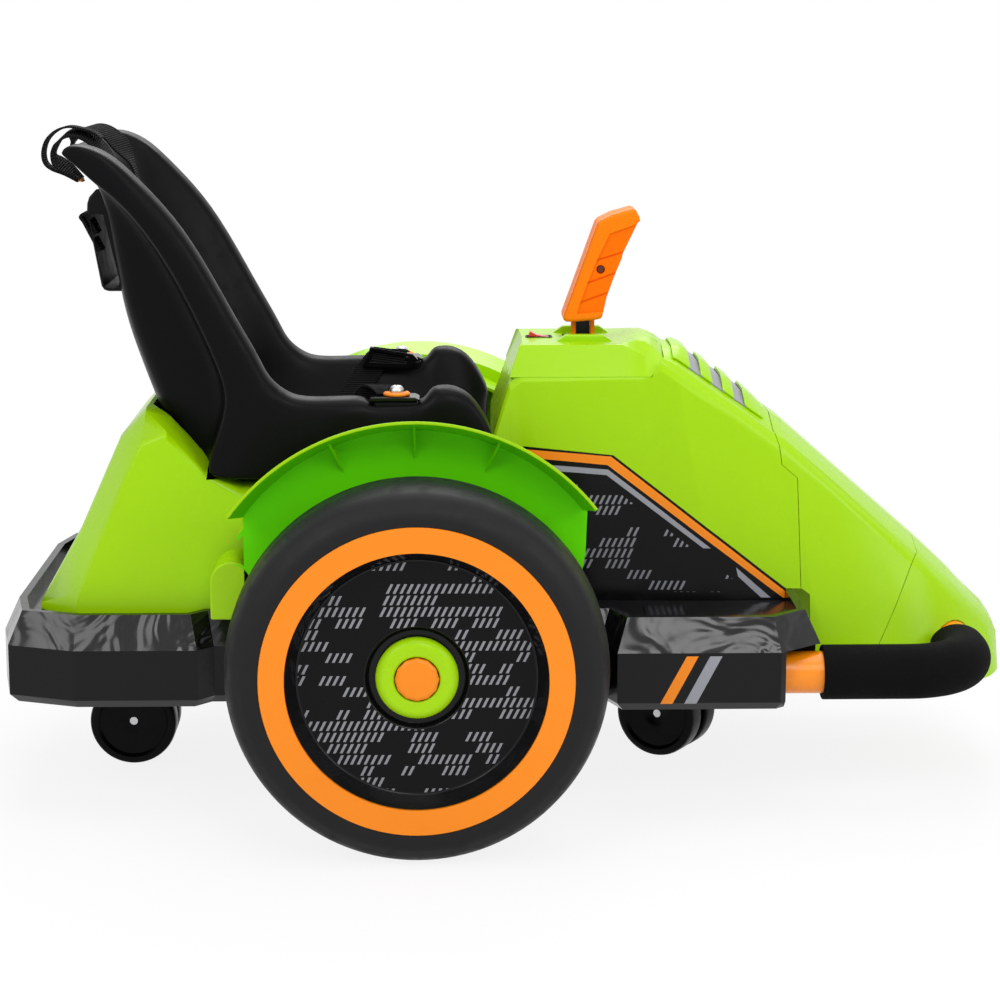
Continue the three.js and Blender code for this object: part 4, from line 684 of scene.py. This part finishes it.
for side, hand in ((-1, "right"), (1, "left")):
    shell = plate(f"grip_shell_{hand}", grip_line, 0.0004, grip_face, side)
    round_edges(shell, 0.0034, 5, 60, lambda edge: min(abs(vert.co.y) for vert in edge.verts) > grip_face - 0.0001)
    round_edges(shell, 0.0022, 4, 60, lambda edge: max(abs(vert.co.y) for vert in edge.verts) < 0.0005)
    cutters = [plate("panel", grip_panel, grip_face - 0.0020, past_face, side),
               plate("lever_room", lever_room, -0.001, 0.0046, side),
               disc("screw_room", screw, 0.0042, grip_face - 0.0060, past_face, side)]
    for x, z, far_x, far_z in grooves:
        cutters.append(plate("groove", [(x, z - groove_half), (far_x, far_z - groove_half),
                                        (far_x, far_z + groove_half), (x, z + groove_half)],
                             grip_face - 0.0036, past_face, side))
    carved(shell, cutters)
    tongues = [plate("tongue", oblong(x, x + 0.0036, 0.4180, 0.4400), 0.0046, 0.0100, side) for x in (0.0562, 0.0742)]
    shell = joined(f"grip_shell_{hand}", [shell, *tongues])
    finish(shell, "stick", "orange", orange_grip, f"joystick_grip_{hand}", sharp=40)
    # The recessed panel's faces take a darker, more matte copy of the grip's orange; the grip is one plastic.
    shell.data.materials.append(orange_deep)
    for face in shell.data.polygons:
        if 0.0195 < abs(face.center.y) < grip_face - 0.0015 and face.center.z > panel_foot:
            face.material_index = 1
screw_steel = steel_finish("dark_screw", (0.16, 0.05, 0.04), 0.35)
heads = []
for side in (-1, 1):
    head = disc("screw_head", screw, 0.0034, grip_face - 0.0059, grip_face - 0.0036, side, 24)
    round_edges(head, 0.0008, 3, 45)
    carved(head, [plate("slot", oblong(screw[0] - a, screw[0] + a, screw[1] - b, screw[1] + b),
                        grip_face - 0.0044, grip_face, side) for a, b in ((0.0021, 0.0004), (0.0004, 0.0021))])
    heads.append(head)
heads.append(disc("screw_stem", screw, 0.0018, -0.0190, 0.0190, 1, 16))
finish(joined("grip_screws", heads), "stick", "steel", screw_steel, "grip_bolt")

# Tail cover: one lime hood moulding, open below. Its foot stands in the tray and its front nests
# round the seat.
tail = copy_of("rear_body", "tail_moulding")
round_edges(tail, 0.0012, 3, 45, long_outward(0.006))
finish(tail, "kart", "lime", lime, "rear_body", flatness=50)

# Fenders: a lime moulding over each drive wheel, with an upright wall, a deck that meets the tail
# cover, a lip that stands out over the tyre on three gussets, and a foot on the tray.
axle_x = -0.090
axle_z = 0.166


def turned(name, profile, steps=128, centre=(axle_x, axle_z), side=-1, start=90, sweep=360):
    """A body turned about an axis along y, from a closed line of radius and distance from the middle."""
    run, rise = math.cos(math.radians(start)), math.sin(math.radians(start))
    body = drawn(name, [(centre[0] + run * r, side * y, centre[1] + rise * r) for r, y in profile])
    bpy.ops.mesh.spin(steps=steps, angle=math.radians(sweep), center=(centre[0], 0, centre[1]), axis=(0, 1, 0))
    bpy.ops.mesh.select_all(action="SELECT")
    bpy.ops.mesh.remove_doubles(threshold=0.00001)
    bpy.ops.mesh.fill_holes(sides=0)
    close_outwards()
    return body


def arc(radius, from_deg, to_deg, steps, centre):
    angles = [math.radians(from_deg + (to_deg - from_deg) * i / steps) for i in range(steps + 1)]
    return [(centre[0] + radius * math.cos(angle), centre[1] + radius * math.sin(angle)) for angle in angles]


arch = (-0.092, 0.176)
lip_radius = 0.202
deck_radius = 0.182
fender_wall = 0.228
skin = 0.003
board_top = 0.1935
fender_back = -0.2435
for side, hand in ((-1, "right"), (1, "left")):
    outline = [point for point in arc(lip_radius - 0.009, 38, 184, 60, arch) if point[0] > fender_back]
    outline += [(fender_back, outline[-1][1]), (fender_back, board_top)]
    outline += [point for point in arc(0.128, 184, 18, 60, arch) if point[1] > board_top]
    outline += [(0.052, 0.2156), (0.0585, 0.253)]
    wall = plate("fender_wall", outline, fender_wall - skin, fender_wall, side)
    root = fender_wall - 0.0005
    deck_line = [(deck_radius - skin, 0.159), (deck_radius, 0.159), (deck_radius, root), (deck_radius - skin, root)]
    deck = turned("fender_deck", deck_line, steps=56, centre=arch, side=side, start=40, sweep=110)
    lip_line = [(lip_radius - 0.0145, root), (lip_radius - skin, fender_wall + 0.040),
                (lip_radius, fender_wall + 0.040), (lip_radius - 0.0105, root)]
    lip = turned("fender_lip", lip_line, steps=56, centre=arch, side=side, start=38, sweep=106)
    round_edges(lip, 0.0008, 2, 45, lambda edge: edge.calc_length() < 0.02)
    gusset_line = [(lip_radius - 0.040, root), (lip_radius - 0.0065, fender_wall + 0.022),
                   (lip_radius - 0.0135, root)]
    gussets = [turned("fender_gusset", gusset_line, steps=2, centre=arch, side=side, start=at - 0.3, sweep=0.6)
               for at in (67.5, 90, 112.5)]
    foot = plate("fender_foot", [(-0.274, board_top), *arc(0.019, 180, 0, 16, (-0.255, 0.227)), (-0.236, board_top)],
                 0.170, fender_wall, side)
    round_edges(foot, 0.002, 3, 45)
    fender = joined(f"fender_moulding_{hand}", [wall, deck, lip, foot, *gussets])
    finish(fender, "kart", "lime", lime, f"fender_{hand}")
    # Painted shade: the wall's outer face under the lip and the undersides of the deck and lip take the deeper green
    # copy of the lime.
    fender.data.materials.append(lime_painted_shade)
    for face in fender.data.polygons:
        from_arch = Vector((face.center.x - arch[0], 0, face.center.z - arch[1]))
        inwards = face.normal.dot(from_arch.normalized()) < -0.5
        outside = side * face.normal.y > 0.9 and from_arch.length < lip_radius - 0.006
        off_foot = face.center.x > -0.25 and abs(face.center.y) > 0.16 and face.center.z > board_top + 0.002
        if off_foot and (inwards or outside):
            face.material_index = 1

# Seat: a blow-moulded black bucket with a rolled rim and a raised band up its back. It is bolted
# down through its front pads, with a steel bolt and an orange washer on each side.
seat_black = plastic("seat_plastic", (0.0026, 0.0026, 0.0032), 0.34, grain=0.25, gloss=0.08)
seat = copy_of("seat_shell", "bucket_seat")
edit(seat)
bpy.ops.mesh.quads_convert_to_tris()
bpy.ops.mesh.tris_convert_to_quads(face_threshold=math.radians(60), shape_threshold=math.radians(60))
bpy.ops.object.mode_set(mode="OBJECT")
select_edges(seat, 38)
bpy.ops.transform.edge_crease(value=0.25)
bpy.ops.mesh.select_mode(type="VERT")
bpy.ops.object.mode_set(mode="OBJECT")
smooth = seat.modifiers.new("smooth", "SUBSURF")
smooth.levels = 2
smooth.render_levels = 2
bpy.ops.object.modifier_apply(modifier=smooth.name)
finish(seat, "kart", "black_gloss", seat_black, "seat_shell", sharp=60)


def turned_up(name, profile, centre):
    """A body turned about an upright axis, from a closed line of radius and height."""
    body = drawn(name, [(centre[0] + r, centre[1], z) for r, z in profile])
    bpy.ops.mesh.spin(steps=32, angle=math.tau, center=(centre[0], centre[1], 0), axis=(0, 0, 1))
    bpy.ops.mesh.select_all(action="SELECT")
    bpy.ops.mesh.remove_doubles(threshold=0.00001)
    close_outwards()
    return body


bolt_x, bolt_y = -0.1092, 0.1364
washer_line = [(0.0055, 0.3806), (0.0110, 0.3806), (0.0122, 0.3814), (0.0122, 0.3828), (0.0108, 0.3840),
               (0.0070, 0.3842), (0.0055, 0.3836)]
bolt_line = [(0, 0.3100), (0.0050, 0.3100), (0.0050, 0.3843), (0.0064, 0.3843), (0.0066, 0.3856), (0.0060, 0.3874),
             (0.0047, 0.3890), (0.0028, 0.3899), (0, 0.3901)]
for side, hand in ((-1, "right"), (1, "left")):
    washer = turned_up(f"seat_washer_ring_{hand}", washer_line, (bolt_x, side * bolt_y))
    finish(washer, "kart", "orange", orange, f"seat_washer_{hand}")
    bolt = turned_up(f"seat_bolt_head_{hand}", bolt_line, (bolt_x, side * bolt_y))
    carved(bolt, [plate("slot", oblong(bolt_x - a, bolt_x + a, 0.3878, 0.3920), bolt_y - b, bolt_y + b, side)
                  for a, b in ((0.0030, 0.0006), (0.0006, 0.0030))])
    finish(bolt, "kart", "steel", steel, f"seat_bolt_{hand}")

# Harness: black ribbed webbing. The lap belts run from tabs under the washers down to the buckle
# on the pan. The shoulder straps run up the back, loop over its top and down into a sleeve.
webbing = plastic("webbing", (0.006, 0.006, 0.0065), 0.8, mottle=0.2, grain=0.8, gloss=0.1)
tree = webbing.node_tree
ribs = add_node(tree, "TexWave", {"Vector": tree.nodes["Texture Coordinate"].outputs["UV"], "Scale": 140,
                                  "Distortion": 0.4})
ribs.bands_direction = "Y"
rib_bump = add_node(tree, "Bump", {"Height": ribs.outputs["Fac"], "Strength": 1, "Distance": 0.0012})
# The webbing's colour follows its ribs, lighter on the rib tops and darker between them.
rib_tone = add_node(tree, "Mix", {0: ribs.outputs["Fac"], 6: (0.0022, 0.0022, 0.0025, 1), 7: (0.020, 0.020, 0.022, 1)})
feed(tree, tree.nodes["Bump"], {"Normal": rib_bump.outputs["Normal"]})
feed(tree, tree.nodes["Principled BSDF"], {"Base Color": rib_tone.outputs[2]})


def smooth_line(points, steps=6):
    """A smooth line through the points, the way that webbing bends."""
    line = []
    for i in range(len(points) - 1):
        before, start, end, after = (Vector(points[max(0, min(j, len(points) - 1))]) for j in range(i - 1, i + 3))
        for step in range(steps):
            t = step / steps
            line.append(0.5 * (2 * start + (end - before) * t + (2 * before - 5 * start + 4 * end - after) * t * t
                               + (3 * start - before - 3 * end + after) * t ** 3))
    return line + [Vector(points[-1])]


def ribbon(name, route, width, thickness, steps=6):
    """Webbing laid flat along a route, each stop a middle point and the way across it."""
    middles = smooth_line([stop[0] for stop in route], steps)
    ways = smooth_line([stop[1] for stop in route], steps)
    shares = (-0.5, -0.46, -0.2, 0.2, 0.46, 0.5)
    rows = [[middle + way.normalized() * width * share for share in shares] for middle, way in zip(middles, ways)]
    strap = laid_grid(name, rows)
    runs = [0]
    for middle, following in zip(middles, middles[1:]):
        runs.append(runs[-1] + (following - middle).length)
    cloth = strap.data.uv_layers[0].data
    for loop in strap.data.loops:
        row, column = divmod(loop.vertex_index, len(shares))
        cloth[loop.index].uv = (shares[column] * width, runs[row])
    walled(strap, thickness, 0)
    return strap


up_the_back = [(-0.1335, 0.3190), (-0.1865, 0.3188), (-0.2309, 0.3172), (-0.2751, 0.3156), (-0.2890, 0.3215),
               (-0.3036, 0.3376), (-0.3165, 0.3626), (-0.3302, 0.4015), (-0.3464, 0.4497), (-0.3532, 0.4914),
               (-0.3560, 0.5300)]
round_the_top = [(-0.3612, 0.5560), (-0.3670, 0.5780), (-0.3769, 0.5948), (-0.3864, 0.6060), (-0.3975, 0.6127),
                 (-0.4086, 0.6137), (-0.4179, 0.6081), (-0.4231, 0.6005), (-0.4248, 0.5935), (-0.4207, 0.5873),
                 (-0.4120, 0.5810), (-0.4000, 0.5720)]
loose_loop = [(-0.3800, 0.6090), (-0.3880, 0.6150), (-0.3987, 0.6179), (-0.4099, 0.6195), (-0.4212, 0.6158),
              (-0.4299, 0.6074), (-0.4335, 0.5963), (-0.4320, 0.5865), (-0.4251, 0.5806), (-0.4140, 0.5763),
              (-0.4020, 0.5700)]
sleeve_tail = [(-0.3830, 0.5060), (-0.3900, 0.5190), (-0.3970, 0.5330), (-0.4000, 0.5375), (-0.3970, 0.5400),
               (-0.3930, 0.5360), (-0.3860, 0.5220)]
lap_route = [  # x, y and z of the middle, and how far the way across it leans outwards
    (-0.1120, 0.1370, 0.3812, 0), (-0.1190, 0.1290, 0.3862, 0.1), (-0.1280, 0.1200, 0.3866, 0.15),
    (-0.1370, 0.1130, 0.3760, 0.1), (-0.1500, 0.1050, 0.3560, 0), (-0.1610, 0.0950, 0.3390, 0),
    (-0.1660, 0.0800, 0.3270, 0), (-0.1580, 0.0600, 0.3225, 0), (-0.1350, 0.0400, 0.3208, -0.3),
    (-0.1150, 0.0270, 0.3205, -0.3)]
tab_line = [(-0.1340, 0.3770), (-0.0930, 0.3770), (-0.0880, 0.3784), (-0.0925, 0.3806), (-0.1330, 0.3806)]
pad_line = [(-0.1285, 0.3640), (-0.0905, 0.3640), (-0.0890, 0.3766), (-0.1300, 0.3766)]
anchor_line = [(-0.4110, 0.5790), (-0.3990, 0.5725), (-0.3975, 0.5690), (-0.4075, 0.5715)]
over = Vector((0, 1, 0))
for side, hand in ((-1, "right"), (1, "left")):
    leaning = Vector((0.42, 0.9, 0.12)) if side == 1 else Vector((0.12, 0.95, 0.2))
    strap_y = side * 0.059
    route = [((x, strap_y, z), over) for x, z in up_the_back]
    route += [((x, strap_y, z), leaning if x > -0.423 and z > 0.58 else over) for x, z in round_the_top]
    webs = [ribbon("web", route, 0.030, 0.0020)]
    if side == -1:
        webs.append(ribbon("web", [((x, strap_y, z), over) for x, z in loose_loop], 0.022, 0.0020))
    webs.append(ribbon("web", [((x, strap_y, z), over) for x, z in sleeve_tail], 0.030, 0.0030))
    finish(joined(f"shoulder_webbing_{hand}", webs), "kart", "webbing", webbing, f"shoulder_strap_{hand}")
    anchor = plate(f"strap_anchor_{hand}", anchor_line, 0.050, 0.068, side)
    round_edges(anchor, 0.0008, 2, 40)
    finish(anchor, "kart", "orange", orange)
    belts = [ribbon("belt", [((x, side * y, z), (1, side * lean, 0)) for x, y, z, lean in lap_route], 0.029, 0.0022)]
    if side == 1:
        insert = [((-0.1240, 0.1080, 0.3745), (1, 0, -0.14)), ((-0.1200, 0.1095, 0.3905), (1, 0, -0.14))]
        belts.append(ribbon("belt", insert, 0.034, 0.0022))
    finish(joined(f"lap_webbing_{hand}", belts), "kart", "webbing", webbing, f"lap_belt_{hand}")
    tab = plate(f"belt_tab_{hand}", tab_line, 0.1225, 0.1505, side)
    round_edges(tab, 0.0009, 3, 40)
    finish(tab, "kart", "black", black_gloss)
    pad = plate(f"seat_pad_{hand}", pad_line, 0.1200, 0.1500, side)
    round_edges(pad, 0.0025, 3, 40)
    finish(pad, "kart", "black_gloss", seat_black)
slider = plate("belt_slider", [(-0.1480, 0.3740), (-0.1400, 0.3930), (-0.0975, 0.3855), (-0.0925, 0.3800),
                               (-0.1010, 0.3715), (-0.1440, 0.3727)], 0.1050, 0.1120, 1)
carved(slider, [plate("gap", [(-0.1415, 0.3775), (-0.1365, 0.3888), (-0.1015, 0.3828), (-0.1045, 0.3760)],
                      0.1, 0.12, 1)])
round_edges(slider, 0.0009, 3, 40)
finish(slider, "kart", "black", black_gloss)
buckle = copy_of("harness_buckle", "buckle_case")
round_edges(buckle, 0.0012, 2, 30)
finish(buckle, "kart", "black", black, "harness_buckle")
sleeve_half = 0.0755
sleeve_line = [(-0.3850, 0.5630), (-0.3915, 0.5560), (-0.3935, 0.5500), (-0.3940, 0.5410), (-0.3825, 0.4740),
               (-0.3800, 0.4705), (-0.3760, 0.4692), (-0.3620, 0.4692), (-0.3570, 0.4700), (-0.3545, 0.4740),
               (-0.3640, 0.5300), (-0.3720, 0.5640)]
sleeve = plate("strap_sleeve", sleeve_line, -sleeve_half, sleeve_half, 1)
round_edges(sleeve, 0.003, 4, 60, lambda edge: abs(edge.verts[0].co.y - edge.verts[1].co.y) < 0.001)
tunnel_line = [(-0.3922, 0.5420), (-0.3790, 0.5400), (-0.3655, 0.4790), (-0.3660, 0.4735), (-0.3720, 0.4715),
               (-0.3800, 0.4735)]
carved(sleeve, [plate("tunnel", tunnel_line, -0.09, 0.09, 1),
                plate("top_gap", oblong(-0.3900, -0.3820, 0.5400, 0.58), -0.070, 0.070, 1)])
finish(sleeve, "kart", "black", black, "harness_bracket", sharp=45)

# Drive wheels: each is a blow-moulded black tyre on a black dished rim, with an orange ring, a
# lime hub ring and an orange cap, turning on the steel axle.
tyre_rubber = plastic("tyre_plastic", (0.013, 0.013, 0.014), 0.42, mottle=0.1, grain=0.5, gloss=0.13, scuffs=0.2)
disc_print = dashed_print("disc_print", (0.0028, 0.0028, 0.0032), (0.25, 0.255, 0.275), 0.5)
for side, hand in ((-1, "right"), (1, "left")):
    wheel = f"wheel_{hand}"
    inner, outer = 0.245, 0.345
    tyre = turned(f"tyre_moulding_{hand}", [
        (0.1123, inner + 0.008), (0.126, inner), (0.146, inner), (0.161, inner + 0.012), (0.166, inner + 0.032),
        (0.166, outer - 0.032), (0.161, outer - 0.012), (0.146, outer - 0.001), (0.1348, outer - 0.001),
        (0.1348, outer - 0.005), (0.1123, outer - 0.005)], side=side)
    round_edges(tyre, 0.006, 4, 12, lambda edge: min(
        math.hypot(vert.co.x - axle_x, vert.co.z - axle_z) for vert in edge.verts) > 0.14)
    finish(tyre, wheel, "tyre", tyre_rubber, f"tyre_{hand}")
    dish = outer - 0.018
    rim = turned(f"rim_dish_{hand}", [
        (0.0073, inner + 0.010), (0.024, inner + 0.010), (0.026, dish - 0.010), (0.102, dish - 0.004),
        (0.106, inner + 0.014), (0.112, inner + 0.014), (0.112, outer - 0.002), (0.103, dish),
        (0.0445, dish), (0.0415, dish - 0.006), (0.0073, dish - 0.006)], side=side)
    round_edges(rim, 0.0012, 3, 25)
    finish(rim, wheel, "black_gloss", black_gloss, f"rim_{hand}")
    ring = turned(f"orange_ring_{hand}", [
        (0.1123, outer - 0.0047), (0.1345, outer - 0.0047), (0.1345, outer), (0.1123, outer)], side=side)
    round_edges(ring, 0.0006, 2, 25)
    finish(ring, wheel, "orange", orange, f"wheel_ring_{hand}")
    hub = turned(f"hub_collar_{hand}", [
        (0.0193, dish - 0.0057), (0.0355, dish - 0.0057), (0.0355, outer - 0.016), (0.0305, outer - 0.0115),
        (0.0193, outer - 0.012)], side=side)
    round_edges(hub, 0.0025, 4, 25)
    finish(hub, wheel, "lime", lime, f"hub_ring_{hand}")
    printed = turned(f"disc_print_{hand}", [
        (0.0455, dish + 0.0001), (0.1015, dish + 0.0001), (0.1015, dish + 0.0004), (0.0455, dish + 0.0004)],
        side=side)
    finish(printed, wheel, "black_gloss", disc_print)
    cap = copy_of(f"hub_cap_{hand}", f"hub_cap_button_{hand}")
    round_edges(cap, 0.001, 3, 30)
    finish(cap, wheel, "orange", orange, f"hub_cap_{hand}")

# Drive train under the covers: a fixed axle, a gearbox and a motor for each wheel, the battery
# and the control box on the tray floor.
for node in ("drive_axle", "motor_right", "motor_left"):
    dress(node, steel)
for node in ("gearbox_right", "gearbox_left", "battery", "control_box"):
    dress(node, black)

# Casters: black moulded forks that swivel under plated plates, each with two hard black wheels on
# a steel pin. The front one stands turned, as in the photograph.
caster_tread = plastic("caster_tread", (0.0025, 0.0025, 0.0028), 0.3, grain=0.3, gloss=0.08)
roller_line = [(0.0043, 0.0048), (0.038, 0.0048), (0.0410, 0.0062), (0.0420, 0.0088), (0.0420, 0.0225),
               (0.0412, 0.0252), (0.0385, 0.0270), (0.0350, 0.0270), (0.0340, 0.0262), (0.0320, 0.0240),
               (0.0150, 0.0240), (0.0110, 0.0225), (0.0043, 0.0213)]
caster_z = 0.042
for end, turn in (("rear", 0), ("front", 31)):
    for node in (f"{end}_caster_plate", f"{end}_caster_axle"):
        dress(node, steel)
    fork = copy_of(f"{end}_caster_fork", f"{end}_fork_moulding")
    round_edges(fork, 0.0008, 2, 40, long_outward(0.004))
    finish(fork, f"{end}_caster", "black", black, f"{end}_caster_fork")
    axle_low, axle_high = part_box(f"{end}_caster_axle")
    x, y = [(low + high) / 2 for low, high in zip(axle_low[:2], axle_high[:2])]
    for side, hand in ((1, "left"), (-1, "right")):
        roller = turned(f"{end}_roller_{hand}", roller_line, steps=64, centre=(x, caster_z), side=side)
        edit(roller)
        bpy.ops.transform.translate(value=(0, y, 0))
        bpy.ops.transform.rotate(value=math.radians(turn), orient_axis="Z", center_override=(x, y, caster_z))
        bpy.ops.object.mode_set(mode="OBJECT")
        finish(roller, f"{end}_caster_roller_{hand}", "caster_wheel", caster_tread, f"{end}_caster_wheel_{hand}")
